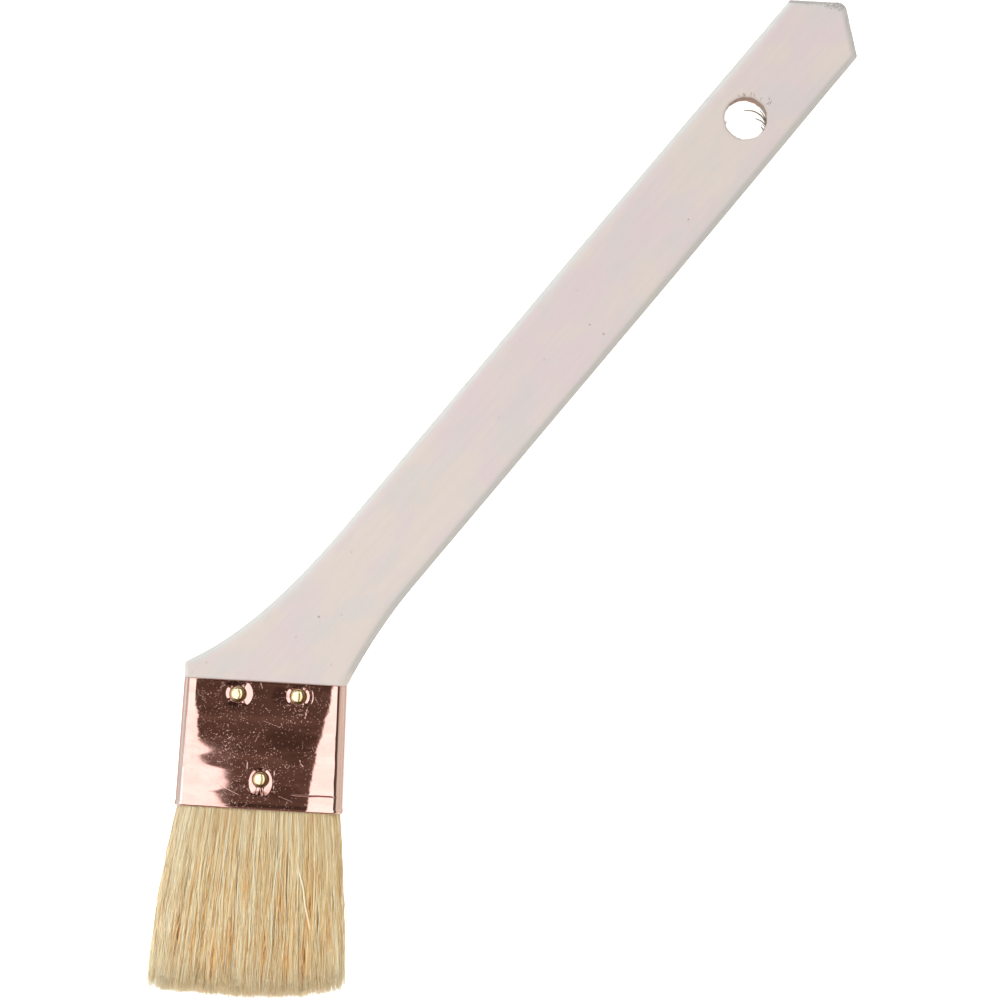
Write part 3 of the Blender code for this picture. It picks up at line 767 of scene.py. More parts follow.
def ring_template(half_width, half_thickness, inset, wobble):
    """X and Z round a tube that is flat in front and behind and turned at its corners."""
    arc = np.radians(np.linspace(90.0, 0.0, CORNER_POINTS + 2)[1:-1])
    sides, ends = [], []
    for sign, (reach, depth) in zip((1.0, -1.0), CORNERS):
        reach, depth = reach + wobble - inset, depth - inset
        corner_x = sign * (half_width - reach + reach * np.cos(arc))
        corner_z = half_thickness - depth + depth * np.sin(arc)
        side_z = np.linspace(half_thickness - depth, depth - half_thickness, SIDE_POINTS)
        x = np.concatenate((corner_x, np.full(SIDE_POINTS, sign * half_width), corner_x[::-1]))
        sides.append(np.c_[x, np.concatenate((corner_z, side_z, -corner_z[::-1]))])
        ends.append(sign * (half_width - reach))
    (right, left), (right_end, left_end) = sides, ends
    front = np.c_[np.linspace(left_end, right_end, FACE_POINTS), np.full(FACE_POINTS, half_thickness)]
    return np.concatenate((front, right, front[::-1] * (1, -1), left[::-1]))


def sheet_profile():
    """The sheet's section as distances down the ferrule and in from its outside, all the way round it."""
    half = SHEET / 2
    lip = np.radians(np.linspace(0.0, 180.0, 7))[1:-1]
    outside = np.linspace(0.25, FERRULE_HEIGHT - 0.25, DOWN_POINTS)
    outside = np.sort(np.concatenate((outside, GROOVE_DOWN + np.linspace(-0.5, 0.5, 18))))
    profile = [(down, 0.0) for down in outside]
    profile += [(FERRULE_HEIGHT - half + half * math.sin(a), half - half * math.cos(a)) for a in lip]
    profile += [(down, SHEET) for down in np.linspace(FERRULE_HEIGHT - 0.3, 0.3, 9)]
    profile += [(half - half * math.sin(a), half + half * math.cos(a)) for a in lip]
    return profile


def make_ferrule(material):
    """The sheet as a closed tube of metal: outer face, rolled mouth, inner face and folded top."""
    bead_start, bead_height, bead_reach = BEAD
    rows, turned = [], []
    for down, inset in sheet_profile():
        bead = bead_reach * math.sin(math.pi * min(1.0, max(0.0, (down - bead_start) / bead_height)))
        half_width = FERRULE_HALF_WIDTH + FERRULE_FLARE * down / FERRULE_HEIGHT + bead - inset
        wobble = CORNER_WOBBLE * float(value_noise([[down / 2.2]], 83)[0])
        x, z = ring_template(half_width, FERRULE_HALF_THICKNESS + bead * 0.8 - inset, inset, wobble).T
        rows.append(np.c_[x, np.full(len(x), -down), z])
        turned.append(smooth(*TURNED, half_width - np.abs(x)))
    points = np.array(rows)
    across, along, z = np.moveaxis(points.copy(), -1, 0)
    front = z > 0
    relief = face_marks(across, along) * smooth(*RELIEF_FADE, np.abs(across))
    drop = face_drop(across, -along[:, 0]) * np.where(front, 1.0, 0.5)
    lap = np.where(front, 0.0, LAP_RISE * smooth(*LAP_FADE, across) * smooth(*LAP_STEP, across))
    points[:, :, 2] += z / FERRULE_HALF_THICKNESS * (FERRULE_CROWN - drop + relief) - lap
    marks = ferrule_wear_and_shade(across, along, front) | {"turned": turned}
    index = np.arange(z.size).reshape(z.shape)
    faces = ring_quads(np.concatenate((index, index[:1]))).tolist()
    obj = new_piece("ferrule_sheet", points.reshape(-1, 3), faces, material, marks)
    bm = bmesh.new()
    bm.from_mesh(obj.data)
    bmesh.ops.recalc_face_normals(bm, faces=bm.faces)
    bm.to_mesh(obj.data)
    bm.free()
    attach(obj, BODY)
    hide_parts("ferrule")


def copper_material():
    """Bright copper plate, specked and scratched, with painted shade and painted reflection in its colour,
    and satin where it is dull, in its groove, round the nails and where it is turned.
    """
    s = Shader("copper")
    across = s.axes(s.place())[0]
    marks = copper_marks(s)
    satin = s.ramp(s.noise((0.4, 1.1, 1.0)), 0.45, 0.75, 0.03, 0.055)
    for name, extra in (("dull", 0.05), ("grime_and_shade", 0.4), ("turned", 0.12)):
        satin = s.plus(satin, s.times(s.mark(name), extra))
    satin = s.plus(satin, s.ramp(across, -17.9, -19.2, 0.0, 0.14))
    waves = s.noise((0.30, 0.75, 0.4), shift=(1.0, 4.0, 2.0))
    return s.finished(
        # The specks and scratches are worn metal; the paler copper mixed into them is partly a painted
        # glint.
        Base_Color=s.mix(s.times(marks, 0.5), copper_colour(s, across), srgb(240, 208, 190)),
        Metallic=1.0,
        Roughness=s.plus(satin, s.times(marks, 0.36)),
        Specular_Tint=srgb(214, 180, 164),
        Normal=s.bump(s.times(marks, -1.0), 0.02, 0.6, s.bump(waves, 0.03, 0.25)),
    )


def copper_colour(s, across):
    """Cloudy pink copper, with painted shade in patches, on the corners' outer bands, in its groove and
    round the nails, and its rolled sides paled by painted reflection.
    """
    cloud = s.noise((0.10, 0.30, 0.2), distortion=0.4)
    face = s.mix(s.ramp(cloud, 0.35, 0.65), srgb(204, 156, 141), srgb(211, 164, 149))
    # Painted shade and dark reflection in patches, with some tarnish.
    face = s.mix(s.mark("shade"), face, srgb(120, 84, 72))
    # Painted reflection: the rolled sides are paler, a greyer pink on the left than on the right.
    rolled = s.mix(s.ramp(across, -1.0, 1.0), srgb(218, 198, 190), srgb(243, 205, 186))
    at_side = s.most(s.ramp(across, 18.4, 19.6), s.ramp(across, -18.9, -19.6))
    # Painted shade on the outer band of each corner.
    colour = s.mix(s.mark("turned"), s.mix(at_side, face, rolled), srgb(174, 150, 136))
    # Painted shade in the groove and round the nail heads.
    return s.mix(s.mark("grime_and_shade"), colour, srgb(96, 56, 42))


def copper_marks(s):
    """Specks and scratches, more of them where the sheet is busy."""
    patchy = s.noise((0.22, 0.4, 0.2), shift=(3.0, 9.0, 1.0))
    share = s.plus(s.ramp(patchy, 0.42, 0.70, 0.10, 0.42), s.mark("busy"), clamp=True)
    fine = s.flecks((2.6, 3.6, 2.9), 0.26, share, turn=0.6)
    coarse = s.flecks((1.1, 2.2, 1.6), 0.20, s.times(share, 0.5), turn=2.3, shift=(4.0, 7.0, 2.0))
    lines = []
    for turn, seed in ((0.9, 1.0), (2.2, 5.0)):
        streak = s.noise((0.55, 9.0, 1.0), 1.0, turn=turn, shift=(seed, 2 * seed, seed))
        lines.append(s.ramp(streak, 0.79, 0.84))
    lines = s.times(s.times(s.most(*lines), share), 0.8)
    return s.most(s.times(fine, 0.34), s.times(coarse, 0.46), lines, s.times(s.mark("scar"), 0.55))


# ------------------------------------------------------------------ bristle

TUFT_LENGTH = 47.9  # the single bristles reach a little past the CAD model's tuft
TUFT_ROOT_HALF = (20.2, 4.35)
TUFT_TIP_HALF = (24.9, 4.3)
TUFT_TIP_SHIFT = -0.6
TUFT_BELLY = 1.1
LEFT_BULGE = 0.6
CLUMP_SIZE = 0.95
CLUMP_PULL = 0.26
LOOSE_SHARE = 0.34  # of the bristles that hardly follow their clump
SHORT_SHARE = 0.03
BRISTLE_RADIUS = (0.10, 0.165)
ROOT_DEPTH = 0.075  # how far inside the ferrule the bristles start, as a share of their length
PARTINGS = (  # across, start and end as shares of the length, and half width, of gaps between clumps
    (-18.6, 0.40, 0.92, 0.30),
    (-15.0, 0.60, 0.84, 0.14),
    (-9.6, 0.60, 0.97, 0.28),
    (-5.4, 0.50, 0.84, 0.20),
    (-2.2, 0.30, 0.52, 0.12),
    (3.2, 0.56, 0.95, 0.26),
    (6.6, 0.36, 0.60, 0.12),
    (9.0, 0.66, 0.96, 0.14),
    (13.9, 0.34, 0.72, 0.34),
    (13.2, 0.62, 0.96, 0.26),
    (19.0, 0.50, 0.74, 0.14),
)
PARTING_REACH = 1.1  # how far to each side a gap pushes bristles
PARTING_HALF = 0.45  # half the width of the bristles with painted shade that show in it
LOOSE = (  # single bristles that lie across the others or stand off the tuft: points and radius
    (((10.4, -41.0), (11.0, -46.5), (12.6, -51.0), (13.2, -55.6), (14.6, -60.0), (14.9, -65.0),
      (14.6, -71.0)), 0.25),
    (((-21.6, -45.0), (-23.0, -52.0), (-24.9, -58.5), (-27.0, -63.4)), 0.09),
    (((-22.6, -56.0), (-24.6, -62.0), (-26.2, -67.0), (-27.2, -70.4)), 0.08),
    (((-22.2, -50.0), (-23.6, -56.0), (-25.2, -61.0), (-26.4, -66.0)), 0.07),
    (((21.2, -44.0), (22.4, -52.0), (23.8, -60.0), (24.6, -66.0)), 0.08),
    (((-3.5, -66.0), (-3.9, -71.0), (-4.4, -76.0), (-4.7, -80.2)), 0.08),
    (((1.8, -66.0), (2.6, -71.5), (2.9, -76.0), (3.4, -80.6)), 0.08),
    (((-1.2, -38.0), (-0.2, -46.0), (0.6, -54.0), (0.2, -61.0)), 0.13),
    (((6.4, -40.0), (5.4, -47.0), (5.0, -54.0), (5.7, -62.0)), 0.12),
    (((-12.8, -44.0), (-13.6, -51.0), (-13.2, -59.0), (-14.2, -67.0)), 0.12),
)
LOOSE_POINTS = 25
ROOT_COUNT = 2400
BRISTLE_TONES = (  # places in the range of tones, from the darkest bristle to the palest
    (0.0, srgb(218, 166, 92)),
    (0.25, srgb(241, 200, 126)),
    (0.5, srgb(251, 223, 165)),
    (0.8, srgb(255, 236, 192)),
    (1.0, srgb(255, 243, 206)),
)


def tuft_flow(u, v, w):
    """Where a bristle runs: u across, v from mouth to tip (negative inside the ferrule), w through."""
    free = np.maximum(v, 0.0)
    half_width = TUFT_ROOT_HALF[0] + (TUFT_TIP_HALF[0] - TUFT_ROOT_HALF[0]) * free**0.8
    half_width = half_width + np.minimum(v, 0.0) * 6.0
    bulge = LEFT_BULGE * np.sin(math.pi * free**1.3) * np.maximum(0.0, -u) ** 3
    thick = TUFT_ROOT_HALF[1] + (TUFT_TIP_HALF[1] - TUFT_ROOT_HALF[1]) * free
    thick = thick + TUFT_BELLY * np.sin(math.pi * free**0.9)
    narrow = 1 - 0.42 * np.abs(u) ** 7
    x = u * half_width + TUFT_TIP_SHIFT * free - bulge
    return np.stack((x, MOUTH_Y - TUFT_LENGTH * v, w * thick * narrow), axis=-1)


def clump_table(rng):
    """Clumps of bristles: where each stands, and how it sways, waves and differs from the others."""
    across = int(2 * TUFT_ROOT_HALF[0] / CLUMP_SIZE)
    through = int(2 * TUFT_ROOT_HALF[1] / CLUMP_SIZE)
    u = (np.arange(across) + 0.5) / across * 2 - 1
    w = (np.arange(through) + 0.5) / through * 2 - 1
    u, w = np.meshgrid(u, w, indexing="ij")
    u = u.ravel() + rng.uniform(-0.8, 0.8, u.size) / across
    w = w.ravel() + rng.uniform(-0.8, 0.8, w.size) / through
    count = u.size
    return {
        "u": np.clip(u, -0.98, 0.98),
        "w": np.clip(w, -0.95, 0.95),
        "sway": rng.normal(0.0, 0.60, count),
        "lift": rng.normal(0.0, 0.28, count),
        "wave": rng.uniform(0.03, 0.24, count),
        "turns": rng.uniform(0.6, 1.8, count),
        "phase": rng.uniform(0.0, 2 * math.pi, count),
        "reach": rng.normal(0.0, 0.007, count),
        "tone": rng.normal(0.0, 0.06, count),
    }


def own_clump(rng, u, w, clumps):
    """The values of the clump that each bristle belongs to, mostly the nearest one."""
    away = (u - clumps["u"]) ** 2 * 19.0 + (w - clumps["w"]) ** 2 * 1.6
    own = np.argmin(away + rng.uniform(0.0, 0.004, away.shape), axis=1)
    return {key: values[own][:, None] for key, values in clumps.items()}


def strand_lengths(rng, u, w, reach):
    """Each bristle's length as a share of the tuft's: shorter outside, and a few cut short."""
    lost = (1.1 * u**2 + 2.3 * np.maximum(u, 0.0) ** 2 + 1.4 * w**2) / TUFT_LENGTH
    uneven = 0.016 + 0.034 * smooth(0.80, 1.0, np.abs(u))
    length = 1.0 - lost + reach - np.abs(rng.normal(0.0, 1.0, u.shape)) * uneven
    short = rng.uniform(size=u.shape) < SHORT_SHARE
    return np.where(short, length - rng.uniform(0.03, 0.25, u.shape), length)


def part_bristles(x, v, w, partings):
    """How far the gaps between clumps push each outer bristle aside, and which bristles lie in them."""
    push, inside = np.zeros_like(x), np.zeros_like(x)
    for place, start, end, half in partings:
        middle = (start + end) / 2
        open_here = smooth(start, middle, v) * smooth(end + 0.02, middle, v)
        away = x - place - 0.5 * np.sin((v - start) * 9.0)
        push += np.sign(away) * half * bell(away, PARTING_REACH) * open_here
        inside = np.maximum(inside, bell(away, PARTING_HALF) * open_here)
    return push * smooth(0.50, 0.78, np.abs(w)), inside


def strand_lines(rng, u, v, w, clump, partings):
    """Bristles that gather in clumps, cross and part towards their tips, and which lie in the gaps."""
    free = np.clip(v, 0.0, 1.0)
    loose = rng.uniform(size=u.shape) < LOOSE_SHARE
    pull = CLUMP_PULL * smooth(0.1, 1.0, free) * np.where(loose, 0.2, 1.0)
    line = tuft_flow(u + (clump["u"] - u) * pull, v, w + (clump["w"] - w) * pull * 0.8)
    edge = smooth(1.0, 0.75, np.abs(u))
    own_sway = rng.normal(0.0, 0.65, u.shape) + np.where(loose, rng.normal(0.0, 1.1, u.shape), 0.0)
    own_lift = rng.normal(0.0, 0.10, u.shape) + np.where(loose, 0.12 * np.sign(w), 0.0)
    own_phase = rng.uniform(0, 2 * math.pi, u.shape)
    own_turns = rng.uniform(1.8, 4.6, u.shape)
    own_wave = rng.uniform(0.06, 0.32, u.shape)
    clump_turn = clump["turns"] * 2 * math.pi * free + clump["phase"]
    settled = smooth(0.0, 0.35, free)
    x_move = clump["sway"] * free**1.5 * (0.2 + 0.8 * edge)
    x_move += own_sway * free**1.3 * (0.25 + 0.75 * edge)
    x_move += clump["wave"] * np.sin(clump_turn) * settled
    x_move += own_wave * np.sin(own_turns * 2 * math.pi * free + own_phase) * smooth(0.0, 0.2, free)
    z_move = (clump["lift"] + own_lift) * free**1.5
    z_move += 0.7 * clump["wave"] * np.cos(clump_turn * 1.3) * settled
    push, inside = part_bristles(line[..., 0] + x_move, v, w, partings)
    line[..., 0] += x_move + push
    line[..., 2] += z_move
    return line, inside


def make_strands(name, count, pick, thickness, segments, partings, seed, clumps, material):
    """A layer of tapering bristles, with the tone of each, where it is pale or has painted light, and where
    painted shade deepens its colour.
    """
    rng = np.random.default_rng(seed)
    u = rng.uniform(-1.0, 1.0, (count, 1))
    w = pick(rng, (count, 1))
    clump = own_clump(rng, u, w, clumps)
    length = strand_lengths(rng, u, w, clump["reach"])
    share = np.linspace(0.0, 1.0, segments + 1)[None, :]
    v = -ROOT_DEPTH + (length + ROOT_DEPTH) * share
    line, inside = strand_lines(rng, u, v, w, clump, partings)
    # Each bristle thins gently for most of its length and sharply at its split end.
    taper = 1.0 - 0.27 * smooth(0.15, 0.85, share) - 0.55 * smooth(0.85, 1.0, share)
    radius = rng.uniform(*BRISTLE_RADIUS, (count, 1)) * thickness * taper
    along = np.clip(v / length, 0.0, 1.0)
    # Paler by the ferrule, and painted light at the tip, at the tuft's corners and down its left side, where
    # light shines through.
    pale = 0.50 * smooth(0.88, 0.99, along) + 0.14 * smooth(0.45, 0.1, along)
    pale += 0.6 * smooth(0.78, 1.0, np.abs(u)) * smooth(0.55, 1.0, along) + 0.40 * smooth(-0.62, -0.95, u)
    tone = 0.42 + clump["tone"] + rng.normal(0.0, 0.30, (count, 1))
    # Painted shade: bristles inside the tuft, more towards their tips, take a deeper orange, as do those in
    # the gaps.
    deep = np.clip(1.15 - np.abs(w) * 1.2, 0.0, 1.0) * (0.35 + 0.55 * smooth(0.25, 0.65, along))
    # The tone rises towards the tip: painted light that makes up for the shade the looser bristles cast on
    # each other there.
    marks = {
        "tone": np.clip(tone + 0.12 * smooth(0.1, 0.9, along), 0.0, 1.0),
        "deep": np.maximum(deep, 0.9 * inside),
        "pale": np.clip(pale, 0.0, 0.95),
    }
    return strand_piece(name, line, radius, 3, rng, marks, material)


def strand_piece(name, line, radius, sides, rng, marks, material):
    """Closed tubes with few sides along lines that run roughly down the tuft."""
    count, rings = radius.shape
    spin = rng.uniform(0.0, 2 * math.pi, count)
    angles = spin[:, None] + np.arange(sides)[None, :] * 2 * math.pi / sides
    ring = np.stack((np.cos(angles), np.zeros_like(angles), -np.sin(angles)), axis=-1)
    points = line[:, :, None, :] + radius[:, :, None, None] * ring[:, None, :, :]
    index = np.arange(count * rings * sides).reshape(count, rings, sides)
    caps = np.concatenate((index[:, 0, :], index[:, -1, ::-1]))
    faces = ring_quads(index).tolist() + caps.tolist()
    for key, values in marks.items():
        marks[key] = np.repeat(np.broadcast_to(values, radius.shape).ravel(), sides)
    obj = new_piece(name, points.reshape(-1, 3), faces, material, marks)
    strand_map(obj.data, count, rings, sides)
    return obj


def strand_map(mesh, count, rings, sides):
    """A tidy UV map: each bristle unrolls in its own cell of a square grid."""
    grid = math.ceil(math.sqrt(count))
    cell = np.stack((np.arange(count) % grid, np.arange(count) // grid), axis=-1) / grid
    margin, size = 0.08 / grid, 0.84 / grid
    k, j = np.meshgrid(np.arange(rings - 1), np.arange(sides), indexing="ij")
    steps = ((0, 0), (0, 1), (1, 1), (1, 0))
    corners = np.stack([np.stack(((j + a) / sides, (k + b) / (rings - 1)), -1) for a, b in steps], axis=2)
    quads = cell[:, None, None, None, :] + margin + size * corners[None]
    corner = np.stack((np.arange(sides) / sides * 0.2, (np.arange(sides) == 1) * 0.03), -1)
    root = cell[:, None, :] + margin + size * corner[None]
    tip = cell[:, None, :] + margin + size * (corner[None] + np.array((0.0, 0.97)))
    flat = np.concatenate((quads.reshape(-1, 2), root.reshape(-1, 2), tip.reshape(-1, 2)))
    layer = mesh.uv_layers.new(name="OFBake")
    layer.uv.foreach_set("vector", flat.astype(np.float32).ravel())


def in_front(rng, shape):
    return 1.0 - np.abs(rng.normal(0.0, 0.30, shape)).clip(0, 1.0)


def on_top(rng, shape):
    return rng.uniform(0.62, 1.0, shape)


def in_core(rng, shape):
    return rng.uniform(-0.85, 0.85, shape)


def behind(rng, shape):
    return -in_front(rng, shape)


def back_partings(rng):
    across = np.linspace(-19.0, 19.0, 10) + rng.uniform(-1.2, 1.2, 10)
    starts = rng.uniform(0.3, 0.65, 10)
    return [
        (x, start, start + rng.uniform(0.2, 0.4), rng.uniform(0.15, 0.4)) for x, start in zip(across, starts)
    ]


def make_bristles(material):
    rng = np.random.default_rng(7)
    clumps = clump_table(rng)
    layers = (  # name, count, where its bristles stand, thickness, segments and gaps
        ("bristles_front", 2650, in_front, 1.0, 11, PARTINGS),
        ("bristles_top", 1900, on_top, 0.8, 15, PARTINGS),
        ("bristles_core", 1900, in_core, 1.0, 6, ()),
        ("bristles_back", 2450, behind, 1.0, 11, back_partings(rng)),
    )
    for seed, layer in enumerate(layers, 100):
        obj = make_strands(*layer, seed, clumps, material)
        flex(obj)
        if obj.name == "bristles_front":
            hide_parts("bristle_tuft")
    flex(make_loose_bristles(material))
    make_roots(material)


def flex(obj):
    """Bakes the layer's placement into its points."""
    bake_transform(obj)


def make_loose_bristles(material):
    """Single bristles that follow the top of the tuft, with both ends dipping into it."""
    rng = np.random.default_rng(53)
    lines, radii = [], []
    share = np.linspace(0.0, 1.0, LOOSE_POINTS)
    for points, radius in LOOSE:
        bend = eased(points, LOOSE_POINTS)
        v = (MOUTH_Y - bend[:, 1]) / TUFT_LENGTH
        u = np.clip(bend[:, 0] / tuft_flow(np.ones(1), v, np.zeros(1))[:, 0], -1.0, 1.0)
        top = tuft_flow(u, v, np.ones_like(v))[:, 2] + 0.15 - 3.0 * smooth(0.85, 1.0, np.abs(u))
        dip = 1.2 * (1.0 - np.sin(math.pi * np.clip(share * 1.15, 0.0, 1.0)) ** 0.5)
        lines.append(np.c_[bend, top - dip])
        radii.append(radius * (1.0 - 0.6 * smooth(0.6, 1.0, share)))
    # Loose bristles have no painted shade, and painted light pales each towards its end.
    marks = {"tone": 0.92, "deep": 0.0, "pale": smooth(0.5, 1.0, share)[None, :] * 0.6}
    return strand_piece("bristles_loose", np.array(lines), np.array(radii), 5, rng, marks, material)


def make_roots(material):
    """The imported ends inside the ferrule, standing in the resin to each side of the plug."""
    rng = np.random.default_rng(61)
    low, high = [(np.array(corner) - ORIGIN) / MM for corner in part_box("bristle_root")]
    column = (ROOT_COUNT, 1)
    side = rng.choice((-1.0, 1.0), column)
    x = rng.uniform(low[0] + 0.3, high[0] - 0.3, column)
    z = side * rng.uniform(PLUG_HALF_THICKNESS + 0.35, high[2] - 0.55, column)
    y = high[1] + (low[1] + 0.3 - high[1]) * np.linspace(0.0, 1.0, 4)
    sway = rng.normal(0.0, 0.12, (ROOT_COUNT, 4))
    line = np.stack((x + sway, np.broadcast_to(y, sway.shape), z + 0.5 * sway), axis=-1)
    radius = rng.uniform(0.13, 0.19, column) * np.ones(4)
    # The roots, inside the ferrule, take half the painted shade.
    marks = {"tone": rng.normal(0.45, 0.2, column), "deep": 0.5, "pale": 0.0}
    obj = strand_piece("bristle_roots", line, radius, 3, rng, marks, material)
    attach(obj, BODY)
    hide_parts("bristle_root")


def bristle_material():
    """Blond hog bristle: a tone for each, paler by the ferrule, with painted light at its tip, corners and
    left side, and painted shade inside the tuft, in the gaps and by the ferrule.
    """
    s = Shader("hog_bristle")
    streak = s.noise((1.4, 0.14, 1.4), 2.0, 0.6)
    level = s.plus(s.mark("tone"), s.ramp(streak, 0.3, 0.7, -0.14, 0.14), clamp=True)
    tones = s.node("ShaderNodeValToRGB", (level,))
    stops = tones.color_ramp.elements
    stops.remove(stops[1])
    stops[0].color = BRISTLE_TONES[0][1]
    for position, colour in BRISTLE_TONES[1:]:
        stops.new(position).color = colour
    # Painted shade: a deeper orange inside the tuft and in its gaps.
    colour = s.mix(s.times(s.mark("deep"), 0.8), tones.outputs[0], srgb(248, 182, 90))
    # Paler by the ferrule, with painted light at the tip, corners and left side.
    colour = s.mix(s.mark("pale"), colour, srgb(255, 240, 200))
    # Painted shade, darkest at the ferrule's mouth.
    ferrule_shade = s.ramp(s.axes(s.place())[1], MOUTH_Y + 2.0, MOUTH_Y - 0.8 * TUFT_LENGTH, 0.87, 1.0)
    return s.finished(
        Base_Color=s.scaled(colour, ferrule_shade),
        Roughness=s.ramp(streak, 0.3, 0.7, 0.40, 0.54),
        Normal=s.bump(s.noise((9.0, 0.8, 9.0)), 0.02, 0.5),
        Specular_IOR_Level=0.6,
        Sheen_Weight=0.3,
        Sheen_Tint=srgb(255, 236, 190),
    )


# ------------------------------------------------------------------ nails and hidden pieces

NAIL_RIM = 0.20
NAIL_RINGS = 14
NAIL_SIDES = 40
NAIL_DENT = 0.02
NAIL_FLATNESS = 3.0  # the powers that flatten the crown and round the shoulder
NAIL_SHOULDER = 0.62
NAIL_SHINE = (-0.30, 0.20)  # where each crown is polished, as shares of its radius; the tarnish round it, off centre alike on every nail, is partly painted shade
NAIL_LEAN = 0.055  # how far the hammer tipped each head, as a slope


def nail_profile():
    """Radii and heights from the crown to the point, with the head's underside at 0."""
    reach = NAIL_HEAD_RADIUS * np.sin(np.radians(np.linspace(2.0, 90.0, NAIL_RINGS)))
    rise = NAIL_HEAD_HEIGHT - NAIL_RIM
    share = np.minimum(reach / NAIL_HEAD_RADIUS, 1.0)
    crown = NAIL_RIM + rise * (1.0 - share**NAIL_FLATNESS) ** NAIL_SHOULDER
    under = ((NAIL_HEAD_RADIUS, 0.04), (NAIL_HEAD_RADIUS - 0.06, 0.0), (NAIL_SHANK_RADIUS + 0.1, 0.0))
    shank = ((NAIL_SHANK_RADIUS, -0.1), (NAIL_SHANK_RADIUS, NAIL_POINT - NAIL_LENGTH), (0.05, -NAIL_LENGTH))
    return (*zip(reach, crown), *under, *shank)


def nail_shape(rng):
    """A round-head nail, head up, a little uneven from the hammer, and where it is tarnished, which off the
    rim is partly painted shade.
    """
    angles = np.arange(NAIL_SIDES) * 2 * math.pi / NAIL_SIDES
    rings = np.array([
        np.c_[radius * np.cos(angles), radius * np.sin(angles), np.full(NAIL_SIDES, height)]
        for radius, height in nail_profile()
    ])
    seed = int(rng.integers(1, 999))
    head = rings[:, :, 2] > 0.05
    dents = fractal(rings.reshape(-1, 3) * 0.6, seed, 2).reshape(rings.shape[:2])
    lean = rng.normal(NAIL_LEAN, 0.2 * NAIL_LEAN), rng.normal(0.0, 0.3 * NAIL_LEAN)
    tilt = (rings[:, :, 0] * lean[0] + rings[:, :, 1] * lean[1]) * head
    rings[:, :, 2] += (NAIL_DENT * dents - np.abs(lean[0]) * NAIL_HEAD_RADIUS * 0.5) * head + tilt
    from_axis = np.hypot(rings[:, :, 0], rings[:, :, 1]) / NAIL_HEAD_RADIUS
    x, y = rings[:, :, 0] / NAIL_HEAD_RADIUS, rings[:, :, 1] / NAIL_HEAD_RADIUS
    # Tarnish away from the polished spot, partly painted shade that dims one side of each head's reflection.
    tarnish_and_shade = smooth(0.62, 1.15, np.hypot(x - NAIL_SHINE[0], y - NAIL_SHINE[1]))
    tarnish_and_shade = np.where(head, np.maximum(tarnish_and_shade, smooth(0.82, 1.0, from_axis)), 1.0)
    index = np.arange(head.size).reshape(head.shape)
    faces = ring_quads(index).tolist() + [index[0].tolist(), index[-1, ::-1].tolist()]
    return rings.reshape(-1, 3), faces, tarnish_and_shade


def make_nails(material):
    rng = np.random.default_rng(19)
    for side, face in ((1, "front"), (-1, "back")):
        for name, (x, y) in zip(NAIL_NAMES, NAIL_PLACES):
            node = f"nail_{face}_{name}"
            low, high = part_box(node)
            outer = (high.z if side > 0 else low.z) - ORIGIN[2]
            points, faces, tarnish_and_shade = nail_shape(rng)
            points = points * (1, 1, side) + (x, y, outer / MM - side * NAIL_HEAD_HEIGHT)
            if side < 0:
                faces = [corners[::-1] for corners in faces]
            obj = new_piece(f"brass_{face}_{name}", points, faces, material, {"rim": tarnish_and_shade})
            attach(obj, BODY)
            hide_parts(node)


def brass_material():
    """Yellow brass, polished on a spot of each crown and tarnished brown round it and at the rims, a tarnish
    that is partly painted shade.
    """
    s = Shader("brass_nail")
    cloud = s.noise((0.9, 0.9, 0.9), 3.0, 0.6)
    stain = s.noise((1.1, 1.6, 1.1), 3.0, 0.6, shift=(4.0, 0.0, 2.0))
    colour = s.mix(s.ramp(cloud, 0.35, 0.65), srgb(226, 196, 146), srgb(238, 212, 168))
    colour = s.mix(s.ramp(stain, 0.54, 0.72, 0.0, 0.5), colour, srgb(190, 146, 76))
    return s.finished(
        Base_Color=s.mix(s.mark("rim"), colour, srgb(118, 86, 44)),
        Metallic=1.0,
        Roughness=s.ramp(cloud, 0.3, 0.7, 0.14, 0.19),
        Normal=s.bump(s.noise((1.6, 1.6, 1.6), 3.0), 0.02, 0.3),
    )


def resin_material():
    """Amber resin with paler bubbles."""
    s = Shader("setting_resin")
    cloud = s.noise((0.3, 0.6, 0.6), 4.0, 0.6, 0.5)
    bubbles = s.ramp(s.cells((1.4, 1.4, 1.4))["Distance"], 0.28, 0.12)
    colour = s.mix(s.ramp(cloud, 0.35, 0.65), srgb(120, 76, 34), srgb(186, 128, 62))
    return s.finished(
        Base_Color=s.mix(bubbles, colour, srgb(214, 170, 108)),
        Roughness=s.ramp(cloud, 0.3, 0.7, 0.22, 0.4),
        Normal=s.bump(s.minus(cloud, bubbles), 0.12, 0.6),
    )


def plug_material():
    """Plain pine with its grain along the plug."""
    s = Shader("plug_pine")
    grain = s.noise((0.08, 1.6, 1.6), 4.0, 0.6, 0.3)
    fibre = s.noise((0.4, 6.0, 6.0), 2.0, 0.6)
    return s.finished(
        Base_Color=s.mix(s.ramp(grain, 0.35, 0.65), srgb(196, 158, 112), srgb(222, 190, 146)),
        Roughness=s.ramp(fibre, 0.3, 0.7, 0.62, 0.8),
        Normal=s.bump(s.plus(grain, fibre), 0.1, 0.6),
    )


def dress(node, material):
    """A hidden piece keeps its CAD mesh and only takes a material."""
    NODES[node].data.materials.clear()
    NODES[node].data.materials.append(material)


# ------------------------------------------------------------------ studio

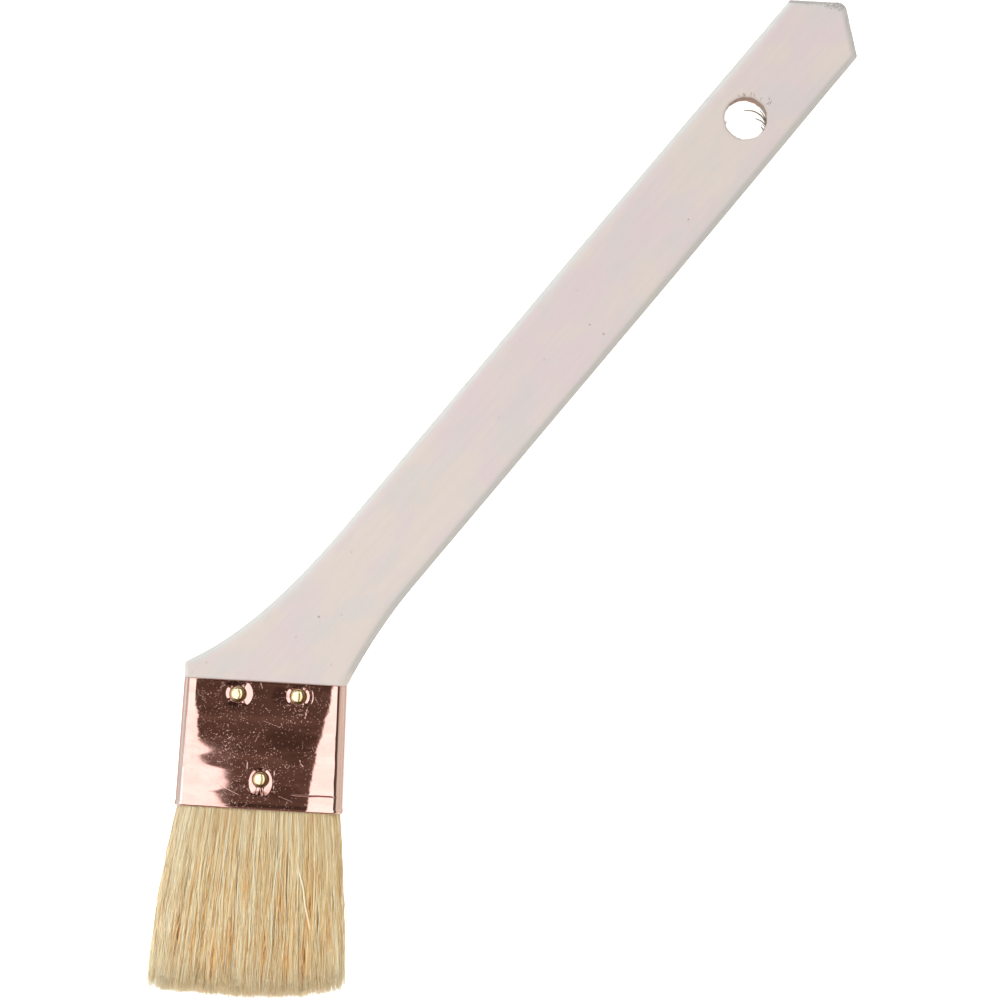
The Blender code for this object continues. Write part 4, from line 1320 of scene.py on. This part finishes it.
FLOOR_GLOW = 0.70
HORIZON_LEVEL = 0.95
SIDE_LEVEL = 0.76
END_LEVEL = 0.20
SOFT_LEVEL = 2.40
DARK_LEVEL = 0.142
GAP_LEVEL = 0.12
SOFT_REACH = 41.0  # degrees from straight up, along the ferrule
LEFT_SOFT = (-58.0, -8.2)  # degrees from straight up, across the ferrule
RIGHT_SOFT = (2.4, 21.0)
RIGHT_GAP = (21.0, 42.0)
WALL_TOP = 11.0  # degrees above the horizon
SOFT_COLOUR = (0.95, 1.0, 1.10)
DARK_COLOUR = (1.05, 0.79, 0.655)
CAMERA_HEIGHT = 1.050
CAMERA_TURN = math.radians(3.3)
CAMERA_LENS = 151.2
CAMERA_PLACE = (-0.0007, -0.0007)


def grey(level, tint=(1.0, 1.0, 1.0)):
    return tuple(level * part for part in tint) + (1.0,)


class Sky(Nodes):
    """A sky's nodes, with its parts told apart by angles in degrees."""

    def angle(self, operation, *values):
        return self.times(self.math(operation, *values), math.degrees(1.0))

    def step(self, value, at, soft):
        return self.ramp(value, at - soft, at + soft)

    def band(self, value, low, high, soft):
        return self.times(self.step(value, low, soft), self.minus(1.0, self.step(value, high, soft)))


def make_world():
    """A studio in the sky: a light to each side of a dark ceiling, and pale walls below."""
    world = bpy.data.worlds.new("studio")
    bpy.context.scene.world = world
    world.use_nodes = True
    world.node_tree.nodes.clear()
    s = Sky(world.node_tree)
    x, y, z = s.axes(s.node("ShaderNodeTexCoord").outputs["Generated"])
    turn_x, turn_y = s.angle("ARCTAN2", x, z), s.angle("ARCTAN2", y, z)
    height = s.angle("ARCSINE", z)
    sideways = s.angle("ABSOLUTE", s.math("ARCTAN2", y, s.math("ABSOLUTE", x)))
    walls = s.mix(s.step(sideways, 50.0, 14.0), grey(SIDE_LEVEL), grey(END_LEVEL))
    near_dark, far_dark = [grey(DARK_LEVEL * share, DARK_COLOUR) for share in (1.45, 0.55)]
    dark = s.mix(s.step(turn_y, -3.4, 5.0), near_dark, far_dark)
    level = s.mix(s.step(height, WALL_TOP, 2.5), grey(HORIZON_LEVEL), walls)
    ceiling = (  # degrees across it, how soft its edges are, and its light
        (RIGHT_GAP, 0.8, grey(GAP_LEVEL)),
        ((LEFT_SOFT[1], RIGHT_SOFT[0]), 0.2, dark),
        (LEFT_SOFT, 0.2, grey(SOFT_LEVEL, SOFT_COLOUR)),
        (RIGHT_SOFT, 0.2, grey(SOFT_LEVEL, SOFT_COLOUR)),
    )
    length = s.band(turn_y, -SOFT_REACH, SOFT_REACH, 5.0)
    for limits, soft, light in ceiling:
        level = s.mix(s.times(s.band(turn_x, *limits, soft), length), level, light)
    background = s.node("ShaderNodeBackground", (level,))
    s.node("ShaderNodeOutputWorld", (background.outputs[0],))


def floor_material():
    """A pale floor that glows a little, so that it stays white round the brush's shadow."""
    s = Shader("pale_floor")
    cloud = s.noise((0.004, 0.004, 0.004))
    return s.finished(
        Base_Color=s.mix(s.ramp(cloud, 0.3, 0.7), grey(0.86), grey(0.87)),
        Roughness=0.9,
        Emission_Color=grey(1.0),
        Emission_Strength=FLOOR_GLOW,
        Specular_IOR_Level=0.0,
    )


def make_studio():
    make_world()
    bpy.ops.mesh.primitive_plane_add(size=12.0)
    floor = bpy.context.object
    floor.name = "floor"
    floor.data.materials.append(floor_material())
    camera = add_object("camera", bpy.data.cameras.new("camera"))
    camera.data.lens = CAMERA_LENS
    camera.data.clip_end = 20.0
    camera.location = (*CAMERA_PLACE, HANDLE_HIGH.z + CAMERA_HEIGHT)
    camera.rotation_euler = (0.0, 0.0, CAMERA_TURN)
    bpy.context.scene.camera = camera
    bpy.context.scene.view_settings.view_transform = "Standard"


make_studio()
make_handle(wood_material())
make_hole_fibres(fibre_material())
make_ferrule(copper_material())
make_bristles(bristle_material())
make_nails(brass_material())
dress("setting_resin", resin_material())
dress("spacer_plug", plug_material())
